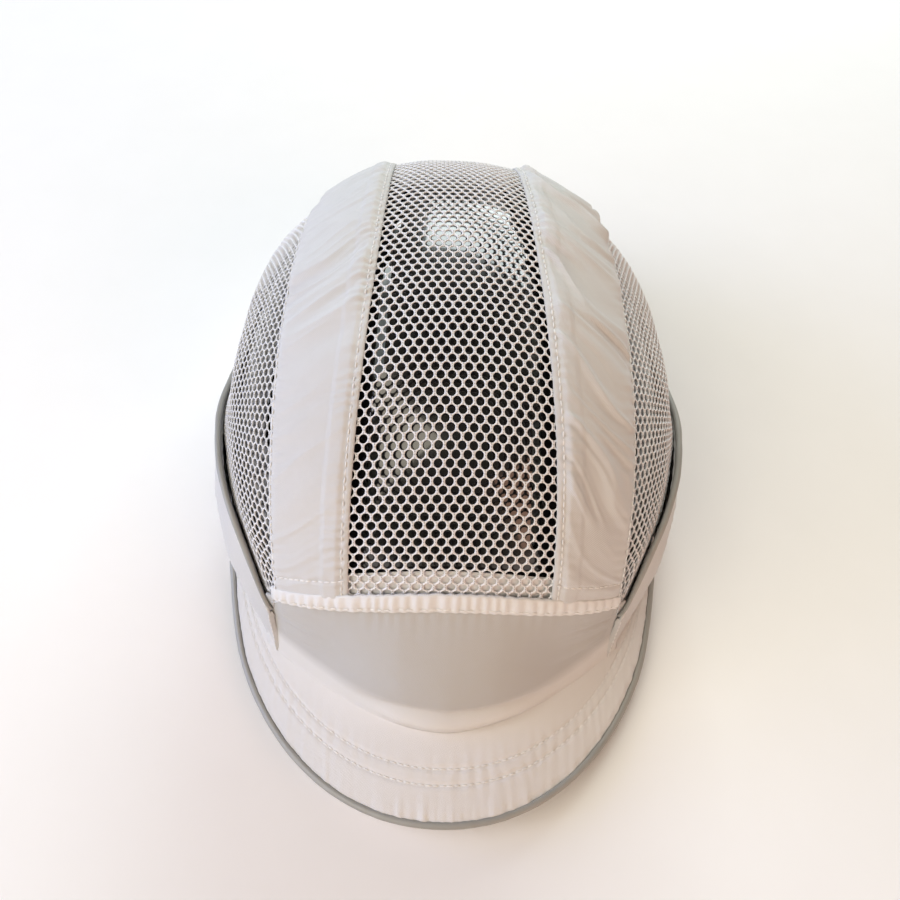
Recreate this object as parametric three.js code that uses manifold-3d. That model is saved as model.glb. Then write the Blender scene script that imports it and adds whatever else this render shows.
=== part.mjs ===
// A bump cap: a sewn cover of mesh and woven panels over a hard inner shell with foam
// pads, a short curved peak, a sweatband, and an arched rear opening that is closed by
// an adjuster strap in a cam buckle.
//
// Millimetres, +Z up. The wearer looks along -Y, so the wearer's left is at +X.
// The origin is the middle of the cap's length and width, on the plane that the rim
// stands on. Each piece is shaped round the dome's own centre, which lies behind it.
import * as THREE from "three";
import { mergeVertices } from "three/addons/utils/BufferGeometryUtils.js";
import Module from "manifold-3d";

const wasm = await Module();
wasm.setup();

// ---------------------------------------------------------------- driving dimensions
const CROWN_HALF_WIDTH = 91.5;
const CROWN_HALF_LENGTH = 116.8;
const CROWN_RISE = 122; // from the top of the skirt to the crown's highest point
const CROWN_CENTRE_Y = 22.9; // the dome's centre, behind the middle of the cap's length
const SKIRT = 6; // height of the upright wall under the dome
const FULLNESS = 2.29; // superellipsoid power: 2 is an ellipsoid, more is squarer
const FORWARD_LEAN = 0.12; // the dome shifts forward by this share of its height
const FRONT_FLARE = 0.1; // the front is wider, and the high back narrower, by this share
const CLOTH = 1.0;
const GAP = 0.4; // between sewn neighbours

const STRIP_INNER_FRONT = 29; // half width of the centre mesh at the front seam
const STRIP_INNER_BACK = 25.3;
const STRIP_OUTER_FRONT = 53.5; // half width over both woven strips
const STRIP_OUTER_BACK = 58.5;
const FRONT_SEAM_DEG = 35.4; // angle of the front seam above the horizontal, at the centre
const FRONT_SEAM_FALL_DEG = 7.6; // how far it drops towards its ends
const SEAM_FOLD_DEG = 3.4; // height of the folded seam under it
const PANEL_HALF_WIDTH = 57; // half width of the front panel at the seam

const V_FRONT_DEG = 31.6; // azimuth where piping, side mesh and front panel meet
const FRONT_BLEND_DEG = 14; // over this far the band comes forward to the front panel
const V_BACK_DEG = 152.7;
const PIPING_RISE = 68; // height of the side piping over the skirt, halfway round
const PIPING_R = 1.3;

const RIM_FRONT_LIFT = 17; // the rim arches up at the front to meet the curved peak
const RIM_LEVEL_DEG = 64; // azimuth behind which the rim lies flat
const RIM_TAPE_HEIGHT = 3;
const RIM_TAPE_DEPTH = 7;
const RIM_END_DEG = 152;

const PEAK_HALF_WIDTH = 90.5;
const PEAK_REACH = 125; // from the ellipse's centre to the tip
const PEAK_CENTRE_Y = -35;
const PEAK_END_DEG = 74;
const PEAK_ROOT_DEG = 51; // crown azimuth of the peak's corner
const PEAK_ROOT_Z = 22;
const PEAK_SLOPE = 0.2;
const PEAK_ARCH = 24; // drop from the centre line at 85 mm out
const PEAK_ARCH_AT = 85;
const PEAK_BOARD = 1.6;
const PEAK_CLOTH = 0.7;
const BINDING_WIDTH = 2.5;

const SHELL_DEPTH = 4.5; // from the cover's outside to the shell's outside
const SHELL_WALL = 2.2;
const SHELL_RIDGE = 1.5; // how far the shell's middle panel stands up
const PAD_DEPTH = 7.1;
const PAD_THICKNESS = 5;
const SWEATBAND_DEPTH = 7.3;
const SWEATBAND_THICKNESS = 2;
const SWEATBAND_HEIGHT = 30;
const SWEATBAND_END_DEG = 144;

const ARCH_HALF_WIDTH = 42;
const ARCH_HEIGHT = 46;
const REAR_HALF_WIDTH = 49.5;
const REAR_SEAM_Z = 64;
const REAR_CORNER_Z = 49;

const STRAP_RADIUS = 87; // the strap lies on this arc round (0, STRAP_Y)
const STRAP_Y = 23;
const STRAP_THICKNESS = 1.4;
const STRAP_LOW = 8;
const STRAP_HIGH = 25;

// ---------------------------------------------------------------- materials
const finish = (color, roughness, metalness = 0) =>
  new THREE.MeshStandardMaterial({ color, roughness, metalness });
const WHITE_CLOTH = finish(0xefebe3, 0.85);
const WHITE_MESH = finish(0xf2f2f2, 0.8);
const SILVER_TAPE = finish(0x9a9a94, 0.5);
const BLACK_SHELL = finish(0x17181a, 0.22);
const FOAM = finish(0x2b2c2e, 0.95);
const TOWELLING = finish(0xe6e2d8, 0.95);
const PEAK_PLASTIC = finish(0xd8d8d4, 0.5);
const WEBBING = finish(0xe9e6df, 0.8);
const BUCKLE_PLASTIC = finish(0x232426, 0.4);
const STEEL = finish(0xb8babd, 0.3, 1);

// ---------------------------------------------------------------- small maths
const rad = THREE.MathUtils.degToRad;
const deg = THREE.MathUtils.radToDeg;
const mix = THREE.MathUtils.lerp;
const ease = (t) => THREE.MathUtils.smoothstep(t, 0, 1);
const power = (v) => Math.pow(Math.abs(v), FULLNESS);
const root = (v) => Math.pow(Math.max(v, 0), 1 / FULLNESS);

// ---------------------------------------------------------------- the crown's surface
// Points are first placed on a superellipsoid, as {x, y, rise}, and then shaped.
function shaped({ x, y, rise }) {
  const high = y < 0 ? 1 : THREE.MathUtils.clamp(rise / CROWN_RISE, 0, 1);
  const flare = 1 - (FRONT_FLARE * high * y) / CROWN_HALF_LENGTH;
  return new THREE.Vector3(
    x * flare,
    y - FORWARD_LEAN * Math.max(rise, 0),
    rise + SKIRT,
  );
}

const axesAt = (depth) => [
  CROWN_HALF_WIDTH - depth,
  CROWN_HALF_LENGTH - depth,
  CROWN_RISE - depth,
];

// At x, and at an angle from the front horizon over the top to the back.
function over(x, angleDeg, depth) {
  const [a, b, h] = axesAt(depth);
  const c = Math.cos(rad(angleDeg));
  const s = Math.sin(rad(angleDeg));
  const r = root((1 - power(x / a)) / (power(c / b) + power(s / h)));
  return { x, y: -r * c, rise: r * s };
}

// At an azimuth from the front towards the wearer's left, and at a height z.
function around(azimuthDeg, z, depth) {
  const [a, b, h] = axesAt(depth);
  const rise = z - SKIRT;
  const s = Math.sin(rad(azimuthDeg));
  const c = Math.cos(rad(azimuthDeg));
  const shrink = rise > 0 ? root(1 - power(rise / h)) : 1;
  const r = shrink / root(power(s / a) + power(c / b));
  return { x: r * s, y: -r * c, rise };
}

// At x and height z on the back.
function behind(x, z, depth) {
  const [a, b, h] = axesAt(depth);
  const rise = z - SKIRT;
  const y = b * root(1 - power(x / a) - (rise > 0 ? power(rise / h) : 0));
  return { x, y, rise };
}

// The point of the surface in the direction of p.
function projected(p, depth) {
  const [a, b, h] = axesAt(depth);
  const k = 1 / root(power(p.x / a) + power(p.y / b) + power(p.rise / h));
  return { x: p.x * k, y: p.y * k, rise: p.rise * k };
}

const between = (p, q, t) => ({
  x: mix(p.x, q.x, t),
  y: mix(p.y, q.y, t),
  rise: mix(p.rise, q.rise, t),
});

// ---------------------------------------------------------------- the seam lines
const stripInner = (angleDeg) =>
  mix(STRIP_INNER_FRONT, STRIP_INNER_BACK, ease((angleDeg - 35) / 85));

function stripOuter(angleDeg) {
  const top = mix(STRIP_OUTER_FRONT, STRIP_OUTER_BACK, ease((angleDeg - 28) / 80));
  const frontTip = 2.7 * ease((28 - angleDeg) / 10);
  const backTip = 9 * ease((angleDeg - 115) / 42);
  return top + frontTip - backTip;
}

const frontSeam = (x) =>
  FRONT_SEAM_DEG - FRONT_SEAM_FALL_DEG * (x / STRIP_OUTER_FRONT) ** 2;

const rearSeamZ = (x) => REAR_SEAM_Z - 14 * (x / REAR_HALF_WIDTH) ** 4;

function rearSeam(x) {
  const p = behind(x, rearSeamZ(x) + 2 * GAP, 0);
  return 180 - deg(Math.atan2(p.rise, p.y));
}

// Height of the piping at an azimuth: level along the side, falling to a V at both ends.
const pipingZ = (azimuthDeg) =>
  SKIRT +
  PIPING_RISE -
  36 * Math.exp(-(azimuthDeg - V_FRONT_DEG) / 8.5) -
  24 * Math.exp(-(V_BACK_DEG - azimuthDeg) / 12);

const rimZ = (azimuthDeg) =>
  RIM_FRONT_LIFT * ease((RIM_LEVEL_DEG - Math.abs(azimuthDeg)) / RIM_LEVEL_DEG);

const peakTopZ = (x, y) =>
  PEAK_ROOT_Z +
  PEAK_SLOPE * (y + CROWN_HALF_LENGTH) -
  PEAK_ARCH * (x / PEAK_ARCH_AT) ** 2;

// ---------------------------------------------------------------- geometry helpers
// Bends a closed geometry by moving each vertex, and turns it so that its faces look out.
function bent(geometry, move) {
  const bare = geometry.clone();
  for (const name of Object.keys(bare.attributes))
    if (name !== "position") bare.deleteAttribute(name);
  const merged = mergeVertices(bare, 1e-4);
  const p = merged.attributes.position;
  for (let i = 0; i < p.count; i++) {
    const v = move(p.getX(i), p.getY(i), p.getZ(i));
    p.setXYZ(i, v.x, v.y, v.z);
  }
  return facingOut(mergeVertices(merged, 1e-4));
}

function facingOut(geometry) {
  const p = geometry.attributes.position;
  const index = Array.from(geometry.index.array);
  const [a, b, c] = [0, 1, 2].map(() => new THREE.Vector3());
  let volume = 0;
  for (let i = 0; i < index.length; i += 3) {
    a.fromBufferAttribute(p, index[i]);
    b.fromBufferAttribute(p, index[i + 1]);
    c.fromBufferAttribute(p, index[i + 2]);
    volume += a.dot(b.cross(c));
  }
  if (volume < 0)
    for (let i = 0; i < index.length; i += 3)
      [index[i + 1], index[i + 2]] = [index[i + 2], index[i + 1]];
  geometry.setIndex(index);
  return geometry;
}

// A sheet of nu by nv cells: place(u, v, w) with u and v along it and w through it, 0 to 1.
const sheet = (nu, nv, place) =>
  bent(new THREE.BoxGeometry(1, 1, 1, nu, nv, 1), (x, y, z) =>
    place(x + 0.5, y + 0.5, z + 0.5),
  );

// A rod along centre(s), s from 0 to 1, whose section has half sizes [outward, sideways].
function rod(steps, centre, outward, [halfOut, halfSide], sides = 8) {
  const unit = new THREE.CylinderGeometry(1, 1, 1, sides, steps);
  const step = 1e-3;
  return bent(unit, (x, y, z) => {
    const s = y + 0.5;
    const at = centre(s);
    const ahead = centre(Math.min(s + step, 1)).sub(centre(Math.max(s - step, 0)));
    const out = outward(s).projectOnPlane(ahead.normalize()).normalize();
    const side = new THREE.Vector3().crossVectors(ahead, out);
    return at.addScaledVector(out, x * halfOut).addScaledVector(side, z * halfSide);
  });
}

// Raises a flat outline in (s, t) to the heights low to high and bends it by place(s, t, z).
function raised(outline, low, high, place) {
  const solid = new THREE.ExtrudeGeometry(outline, {
    depth: high - low,
    bevelEnabled: false,
    curveSegments: 6,
  });
  return bent(solid, (s, t, z) => place(s, t, z + low));
}

function toSolid(geometry) {
  return new wasm.Manifold(
    new wasm.Mesh({
      numProp: 3,
      vertProperties: new Float32Array(geometry.attributes.position.array),
      triVerts: new Uint32Array(geometry.index.array),
    }),
  );
}

function toGeometry(solid) {
  const m = solid.getMesh();
  const geometry = new THREE.BufferGeometry();
  geometry.setAttribute("position", new THREE.BufferAttribute(m.vertProperties, 3));
  geometry.setIndex(new THREE.BufferAttribute(m.triVerts, 1));
  return geometry;
}

const cut = (body, tools) =>
  toGeometry(tools.reduce((solid, tool) => solid.subtract(toSolid(tool)), toSolid(body)));
const joined = (pieces) =>
  toGeometry(pieces.map(toSolid).reduce((solid, piece) => solid.add(piece)));

const cap = new THREE.Group();
function add(name, geometry, material) {
  const mesh = new THREE.Mesh(geometry, material);
  mesh.name = name;
  cap.add(mesh);
  return mesh;
}

// A pair of pieces: the wearer's left one as given, and its mirror image on the right.
function addPair(name, geometry, material) {
  add(`left_${name}`, geometry, material);
  add(`right_${name}`, geometry, material).scale.x = -1;
}

// ---------------------------------------------------------------- the crown's panels
function crownStrip(edgeA, edgeB, nu, nv, depth, thickness) {
  return sheet(nu, nv, (u, v, w) => {
    let angle = mix(FRONT_SEAM_DEG, 150, v);
    const x0 = mix(edgeA(angle), edgeB(angle), u);
    angle = mix(frontSeam(x0), rearSeam(x0), v);
    const x = mix(edgeA(angle), edgeB(angle), u);
    return shaped(over(x, angle, depth + w * thickness));
  });
}

const centreMesh = crownStrip(
  (angle) => -stripInner(angle) + GAP / 2,
  (angle) => stripInner(angle) - GAP / 2,
  10,
  22,
  0,
  CLOTH,
);
const woven = crownStrip(
  (angle) => stripInner(angle) + GAP / 2,
  (angle) => stripOuter(angle) - GAP / 2,
  5,
  22,
  0,
  CLOTH,
);
add("centre_mesh_panel", centreMesh, WHITE_MESH);
addPair("strip_panel", woven, WHITE_CLOTH);

// ---------------------------------------------------------------- the front
const seamFold = sheet(20, 1, (u, v, w) => {
  const x = mix(-STRIP_OUTER_FRONT, STRIP_OUTER_FRONT, u);
  const angle = frontSeam(x) - 0.2 - SEAM_FOLD_DEG * (1 - v);
  return shaped(over(x, angle, -1 + 2 * w));
});
add("front_seam_fold", seamFold, WHITE_CLOTH);

const seamFacing = sheet(10, 1, (u, v, w) => {
  const x = mix(-28, 28, u);
  return shaped(over(x, frontSeam(x) + 4 * v, CLOTH + 0.4 + 0.6 * w));
});
add("front_seam_facing", seamFacing, WHITE_CLOTH);

// The front panel hangs from the seam, bulges forward and ends on the peak.
function creaseOnPeak(x) {
  const y = -134 + 27 * Math.pow(Math.abs(x) / 58.5, 1.7);
  return new THREE.Vector3(x, y, peakTopZ(x, y) + 0.7);
}
function panelPoint(u, v) {
  const seamX = mix(-STRIP_OUTER_FRONT, STRIP_OUTER_FRONT, u);
  const top = shaped(over(seamX, frontSeam(seamX) - SEAM_FOLD_DEG - 0.5, 0));
  const foot = creaseOnPeak(mix(-PANEL_HALF_WIDTH, PANEL_HALF_WIDTH, u) * 1.03);
  const belly = top.clone().lerp(foot, 0.55);
  belly.y -= 5;
  belly.z += 2;
  return new THREE.QuadraticBezierCurve3(top, belly, foot).getPoint(v);
}
const frontPanel = sheet(20, 6, (u, v, w) =>
  panelPoint(u, v).add(new THREE.Vector3(0, w * CLOTH, 0)),
);
add("front_panel", frontPanel, WHITE_CLOTH);

// ---------------------------------------------------------------- the side bands
// How far a point of the band comes forward, off the dome, to meet the panel's side.
function forward(azimuth, v, onDome) {
  const share = ease((V_FRONT_DEG + FRONT_BLEND_DEG - azimuth) / FRONT_BLEND_DEG);
  const seam = panelPoint(1, mix(1, 0.3, v));
  seam.x += 2 * GAP;
  return seam.sub(onDome).multiplyScalar(share);
}

// The band's lower edge follows the rim and, in front, the top of the peak.
function bandFoot(azimuth) {
  const onRim = rimZ(azimuth) + RIM_TAPE_HEIGHT + GAP;
  const p = shaped(around(azimuth, 18, 0));
  return mix(onRim, peakTopZ(p.x, p.y) + 1, ease((PEAK_ROOT_DEG + 7 - azimuth) / 7));
}
const sideBand = sheet(26, 4, (u, v, w) => {
  const azimuth = mix(V_FRONT_DEG, RIM_END_DEG, u);
  const z = mix(bandFoot(azimuth), pipingZ(azimuth), v);
  const onDome = shaped(around(azimuth, z, 0));
  const inward = shaped(around(azimuth, z, w * CLOTH)).sub(onDome);
  return onDome.clone().add(forward(azimuth, v, onDome)).add(inward);
});
addPair("side_band", sideBand, WHITE_CLOTH);

// The side mesh fills the crescent between the strip's outer edge and the piping, and
// sinks behind the piping along its lower edge.
const sideMesh = sheet(22, 5, (u, v, w) => {
  const upperAngle = mix(20.5, 154, u);
  const azimuth = mix(V_FRONT_DEG + 1, V_BACK_DEG - 1, u);
  const upper = over(stripOuter(upperAngle) + GAP, upperAngle, 0);
  const lower = around(azimuth, pipingZ(azimuth) + 2 * PIPING_R + 2, 0);
  const shift = forward(azimuth, 1, shaped(lower)).multiplyScalar(ease(v));
  const p = projected(between(upper, lower, v), 2.2 * ease(v) + w * CLOTH);
  return shaped(p).add(shift);
});
addPair("side_mesh", sideMesh, WHITE_MESH);

const pipingAt = (s, depth) => {
  const azimuth = mix(V_FRONT_DEG + 4, RIM_END_DEG - 1, s);
  const z = pipingZ(azimuth);
  const onBand = forward(azimuth, 1, shaped(around(azimuth, z, 0)));
  return shaped(around(azimuth, z + PIPING_R + 2 * GAP, depth)).add(onBand);
};
const piping = rod(
  30,
  (s) => pipingAt(s, 0.2),
  (s) => pipingAt(s, 0).sub(pipingAt(s, 4)),
  [PIPING_R + 0.3, PIPING_R],
);
addPair("piping", piping, SILVER_TAPE);

// ---------------------------------------------------------------- the back
// The rear panel frames the arch: u runs up one side, across the top and down the other.
function rearOutline(u) {
  const legs = 0.27;
  const side = u < 0.5 ? 1 : -1;
  const share = Math.min(u, 1 - u) / legs;
  const z = mix(0.8, REAR_CORNER_Z, Math.min(share, 1));
  const legX = around(RIM_END_DEG, z, 0).x - 2 * GAP;
  if (share < 1) return [side * legX, z];
  const x = mix(legX, -legX, (u - legs) / (1 - 2 * legs));
  return [x, rearSeamZ(x) - 0.4];
}
const archEdge = (u, grow) => [
  (ARCH_HALF_WIDTH + grow) * Math.cos(Math.PI * u),
  0.8 + (ARCH_HEIGHT + grow) * Math.sin(Math.PI * u),
];
const rearPanel = sheet(30, 2, (u, v, w) => {
  const [x0, z0] = archEdge(u, 0.6);
  const [x1, z1] = rearOutline(u);
  return shaped(behind(mix(x0, x1, v), mix(z0, z1, v), w * CLOTH));
});
add("rear_panel", rearPanel, WHITE_CLOTH);

const archBinding = rod(
  24,
  (s) => {
    const [x, z] = archEdge(mix(0.02, 0.98, s), -1.1);
    return shaped(behind(x, z, 0.5));
  },
  () => new THREE.Vector3(0, 1, 0),
  [1.3, 1.2],
);
add("arch_binding", archBinding, SILVER_TAPE);

// ---------------------------------------------------------------- the rim
const rimTape = sheet(56, 1, (u, v, w) => {
  const azimuth = mix(-RIM_END_DEG, RIM_END_DEG, u);
  return shaped(around(azimuth, rimZ(azimuth) + v * RIM_TAPE_HEIGHT, w * RIM_TAPE_DEPTH));
});
add("rim_tape", rimTape, WHITE_CLOTH);

// A layer lying inside the rim: between two azimuths, above the rim line.
const rimLayer = (steps, from, to, low, high, depth, thickness) =>
  sheet(steps, 2, (u, v, w) => {
    const azimuth = mix(from, to, u);
    const z = rimZ(azimuth) + mix(low, high, v);
    return shaped(around(azimuth, z, depth + w * thickness));
  });
add(
  "sweatband",
  rimLayer(
    48,
    -SWEATBAND_END_DEG,
    SWEATBAND_END_DEG,
    RIM_TAPE_HEIGHT + GAP,
    RIM_TAPE_HEIGHT + SWEATBAND_HEIGHT,
    SWEATBAND_DEPTH,
    SWEATBAND_THICKNESS,
  ),
  TOWELLING,
);
const INSIDE = SWEATBAND_DEPTH + SWEATBAND_THICKNESS + 2 * GAP;
add("brow_pad", rimLayer(16, -38, 38, 6, 28, INSIDE, 2.4), TOWELLING);
add("care_label", rimLayer(3, 112, 126, 8, 28, INSIDE, 0.5), WHITE_CLOTH);

// ---------------------------------------------------------------- the peak
// u runs round the peak and v from the crown to the outline, inset by `inset`.
function peakPoint(u, v, inset, drop) {
  const turn = mix(-PEAK_END_DEG, PEAK_END_DEG, u);
  const azimuth = (turn * PEAK_ROOT_DEG) / PEAK_END_DEG;
  const foot = shaped(around(azimuth, 18, -0.4));
  const x = mix(foot.x, (PEAK_HALF_WIDTH - inset) * Math.sin(rad(turn)), v);
  const edgeY = PEAK_CENTRE_Y - (PEAK_REACH - inset) * Math.cos(rad(turn));
  const y = mix(foot.y, edgeY, v);
  return new THREE.Vector3(x, y, peakTopZ(x, y) - drop);
}
const PEAK_INSET = BINDING_WIDTH + GAP;
const peakLayer = (top, thickness) =>
  sheet(30, 4, (u, v, w) => peakPoint(u, v, PEAK_INSET, top + w * thickness));
const BOARD_TOP = PEAK_CLOTH + 0.3;
const LINING_TOP = BOARD_TOP + PEAK_BOARD + 0.3;
const PEAK_THICKNESS = LINING_TOP + PEAK_CLOTH;
add("peak_top_fabric", peakLayer(0, PEAK_CLOTH), WHITE_CLOTH);
add("peak_board", peakLayer(BOARD_TOP, PEAK_BOARD), PEAK_PLASTIC);
add("peak_lining", peakLayer(LINING_TOP, PEAK_CLOTH), WHITE_CLOTH);

const peakBinding = sheet(36, 1, (u, v, w) => {
  const inset = mix(BINDING_WIDTH, 0, v);
  return peakPoint(u, 1, inset, mix(-0.5, PEAK_THICKNESS + 0.5, w));
});
add("peak_binding", peakBinding, SILVER_TAPE);

// ---------------------------------------------------------------- the hard shell
// The shell's lower edge is low round the sides and rises over the arch at the back.
const shellEdgeZ = (azimuthDeg) =>
  30 -
  6 * ease((Math.abs(azimuthDeg) - 40) / 40) +
  32 * ease((Math.abs(azimuthDeg) - 112) / 32);

// Half width of the raised middle panel, which narrows towards the back.
const ridgeHalf = (p) => 24 - 8 * ease((p.y + 10) / 60);

function shellPoint(azimuthDeg, s, depth) {
  const edge = around(azimuthDeg, shellEdgeZ(azimuthDeg), depth);
  const edgeElevation = Math.atan2(edge.rise, Math.hypot(edge.x, edge.y));
  const elevation = mix(Math.PI / 2, edgeElevation, s);
  const p = {
    x: Math.sin(rad(azimuthDeg)) * Math.cos(elevation),
    y: -Math.cos(rad(azimuthDeg)) * Math.cos(elevation),
    rise: Math.sin(elevation),
  };
  const flat = projected(p, depth);
  const side = ease((ridgeHalf(flat) + 3 - Math.abs(flat.x)) / 4);
  return shaped(projected(p, depth - SHELL_RIDGE * side));
}

const SHELL_RINGS = 13;
const shellProfile = [];
for (let i = 0; i <= SHELL_RINGS; i++)
  shellProfile.push(new THREE.Vector2(i / SHELL_RINGS, 1));
for (let i = SHELL_RINGS; i >= 0; i--)
  shellProfile.push(new THREE.Vector2(i / SHELL_RINGS, 0));
const shellBody = bent(new THREE.LatheGeometry(shellProfile, 48), (x, y, z) =>
  shellPoint(
    deg(Math.atan2(x, -z)),
    Math.hypot(x, z),
    SHELL_DEPTH + SHELL_WALL * (1 - y),
  ),
);

// A slot through the shell, from one angle over the crown to another, at x(angle).
const slot = (from, to, x, half) =>
  sheet(8, 1, (u, v, w) => {
    const angle = mix(from, to, u);
    return shaped(over(x(angle) + mix(-half, half, v), angle, -4 + 18 * w));
  });
const beside = (side) => (angle) =>
  side * (25.5 - 7 * ease((angle - 85) / 40));
const shellSlots = [];
for (const side of [-1, 1]) {
  shellSlots.push(slot(42, 64, beside(side), 1.9));
  shellSlots.push(slot(69, 92, beside(side), 1.9));
  shellSlots.push(slot(97, 116, beside(side), 1.9));
  for (const [from, to, x] of [
    [48, 66, 44],
    [74, 96, 46],
    [104, 122, 44],
    [56, 74, 64],
    [84, 104, 66],
  ])
    shellSlots.push(slot(from, to, () => side * x, 2.6));
}
add("hard_shell", cut(shellBody, shellSlots), BLACK_SHELL);

// ---------------------------------------------------------------- foam pads in the shell
const padOver = (x0, x1, from, to, nu, nv) =>
  sheet(nu, nv, (u, v, w) => {
    const p = over(mix(x0, x1, u), mix(from, to, v), PAD_DEPTH + w * PAD_THICKNESS);
    return shaped(p);
  });
const padAround = (from, to, low, high, nu) =>
  sheet(nu, 3, (u, v, w) => {
    const p = around(mix(from, to, u), mix(low, high, v), PAD_DEPTH + w * PAD_THICKNESS);
    return shaped(p);
  });
add("crown_pad", padOver(-15, 15, 68, 118, 4, 8), FOAM);
add("front_pad", padAround(-30, 30, 52, 78, 10), FOAM);
add("rear_pad", padAround(154, 206, 68, 90, 8), FOAM);
addPair("side_pad", padAround(66, 114, 42, 70, 8), FOAM);

// ---------------------------------------------------------------- the rear adjuster
// s runs along the strap from the middle of the back, t outwards from its middle plane.
function onStrap(s, t, z) {
  const angle = s / STRAP_RADIUS;
  const r = STRAP_RADIUS + t;
  return new THREE.Vector3(r * Math.sin(angle), STRAP_Y + r * Math.cos(angle), z);
}
const HALF_STRAP = STRAP_THICKNESS / 2;
const strap = sheet(20, 1, (u, v, w) =>
  onStrap(
    mix(-40, 78, u),
    mix(-HALF_STRAP, HALF_STRAP, w),
    mix(STRAP_LOW, STRAP_HIGH, v),
  ),
);
add("adjuster_strap", strap, WEBBING);

const block = (s0, s1, t0, t1, z0, z1, steps = 4) =>
  sheet(steps, 1, (u, v, w) => onStrap(mix(s0, s1, u), mix(t0, t1, w), mix(z0, z1, v)));

const PIN_S = -6;
const PIN_T = 2.7;
const PIN_R = 0.9;
const BAR_S = -27.5;
const BAR_T = -1.9;
const BAR_R = 1;
const post = (s, t, radius, z0, z1, sides = 16) => {
  const at = onStrap(s, t, 0);
  const unit = new THREE.CylinderGeometry(radius, radius, z1 - z0, sides, 1);
  return bent(unit, (x, y, z) =>
    new THREE.Vector3(at.x + x, at.y + z, (z0 + z1) / 2 + y),
  );
};
const RAIL = 2;
const RAIL_GAP = 0.6;
const LOW_RAIL = STRAP_LOW - RAIL_GAP;
const HIGH_RAIL = STRAP_HIGH + RAIL_GAP;
const frame = joined([
  block(-23, -1.5, -2.7, -1.2, LOW_RAIL - RAIL, HIGH_RAIL + RAIL),
  block(-29, -1.5, -2.7, 4, LOW_RAIL - RAIL, LOW_RAIL),
  block(-29, -1.5, -2.7, 4, HIGH_RAIL, HIGH_RAIL + RAIL),
  post(BAR_S, BAR_T + 0.1, BAR_R - 0.3, LOW_RAIL - 1, HIGH_RAIL + 1),
]);
const pinHole = post(PIN_S, PIN_T, PIN_R + 0.3, 0, 40);
add("buckle_frame", cut(frame, [pinHole]), BUCKLE_PLASTIC);
add(
  "buckle_pin",
  post(PIN_S, PIN_T, PIN_R, LOW_RAIL - RAIL, HIGH_RAIL + RAIL),
  STEEL,
);

// The lever: a round cam about the pin with a flat arm lying over the strap.
const leverOutline = new THREE.Shape();
leverOutline.absarc(PIN_S, PIN_T, 1.6, Math.PI / 2, -Math.PI / 2 - 0.6, true);
leverOutline.lineTo(PIN_S - 4, PIN_T - 0.9);
leverOutline.lineTo(PIN_S - 18, PIN_T - 0.5);
leverOutline.quadraticCurveTo(PIN_S - 20, PIN_T + 0.2, PIN_S - 20, PIN_T + 1.3);
leverOutline.lineTo(PIN_S - 17.5, PIN_T + 1.0);
leverOutline.lineTo(PIN_S - 4, PIN_T + 1.2);
leverOutline.closePath();
const lever = raised(leverOutline, STRAP_LOW, STRAP_HIGH, onStrap);
const leverHole = post(PIN_S, PIN_T, PIN_R + 0.1, 0, 40);
add("buckle_lever", cut(lever, [leverHole]), BUCKLE_PLASTIC);

// The tab holds the buckle: it is sewn inside the right side band, runs under the
// strap's tail and turns back round the frame's bar.
const tabOutline = new THREE.Shape();
tabOutline.moveTo(-71, 1.6);
tabOutline.lineTo(-71, 0.6);
tabOutline.lineTo(-67, 0.6);
tabOutline.lineTo(-61.5, -3.9);
tabOutline.lineTo(BAR_S, -3.9);
tabOutline.absarc(BAR_S, BAR_T + 0.1, 2.1, -Math.PI / 2, 0, false);
tabOutline.lineTo(BAR_S + 1.2, BAR_T + 0.1);
tabOutline.absarc(BAR_S, BAR_T + 0.1, 1.2, 0, -Math.PI / 2, true);
tabOutline.lineTo(-44, -3.0);
tabOutline.lineTo(-61, -2.9);
tabOutline.lineTo(-66, 1.6);
tabOutline.closePath();
add(
  "buckle_tab",
  raised(tabOutline, STRAP_LOW + 0.6, STRAP_HIGH - 0.6, onStrap),
  WEBBING,
);

cap.position.y = CROWN_CENTRE_Y;
const part = new THREE.Group();
part.add(cap);
export default part;
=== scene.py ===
import math

import bmesh
import bpy
import numpy as np
from mathutils import Matrix, Vector


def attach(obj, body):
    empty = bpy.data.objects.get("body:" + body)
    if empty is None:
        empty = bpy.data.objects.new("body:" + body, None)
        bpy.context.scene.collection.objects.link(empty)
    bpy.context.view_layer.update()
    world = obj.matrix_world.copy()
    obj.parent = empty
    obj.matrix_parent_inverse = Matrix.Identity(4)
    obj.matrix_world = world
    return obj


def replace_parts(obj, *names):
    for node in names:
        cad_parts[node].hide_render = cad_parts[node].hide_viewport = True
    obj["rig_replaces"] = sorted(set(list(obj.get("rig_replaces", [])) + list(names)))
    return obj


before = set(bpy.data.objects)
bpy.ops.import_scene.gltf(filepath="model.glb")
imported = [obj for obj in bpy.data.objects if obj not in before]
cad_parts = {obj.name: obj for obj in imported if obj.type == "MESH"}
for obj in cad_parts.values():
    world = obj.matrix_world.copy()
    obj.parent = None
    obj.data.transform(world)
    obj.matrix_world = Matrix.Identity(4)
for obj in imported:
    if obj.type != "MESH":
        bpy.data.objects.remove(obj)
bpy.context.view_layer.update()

# ------------------------------------------------------------------ camera
# A hand-held camera above and in front of the cap, looking down on the crown,
# turned a little to the wearer's right and rolled a little.
CAMERA_ELEVATION = math.radians(53.05)
CAMERA_AZIMUTH = math.radians(-2.90)
CAMERA_ROLL = math.radians(3.97)
CAMERA_DISTANCE = 0.3028
CAMERA_TARGET = Vector((-0.0002, 0.0002, 0.066))

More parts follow.
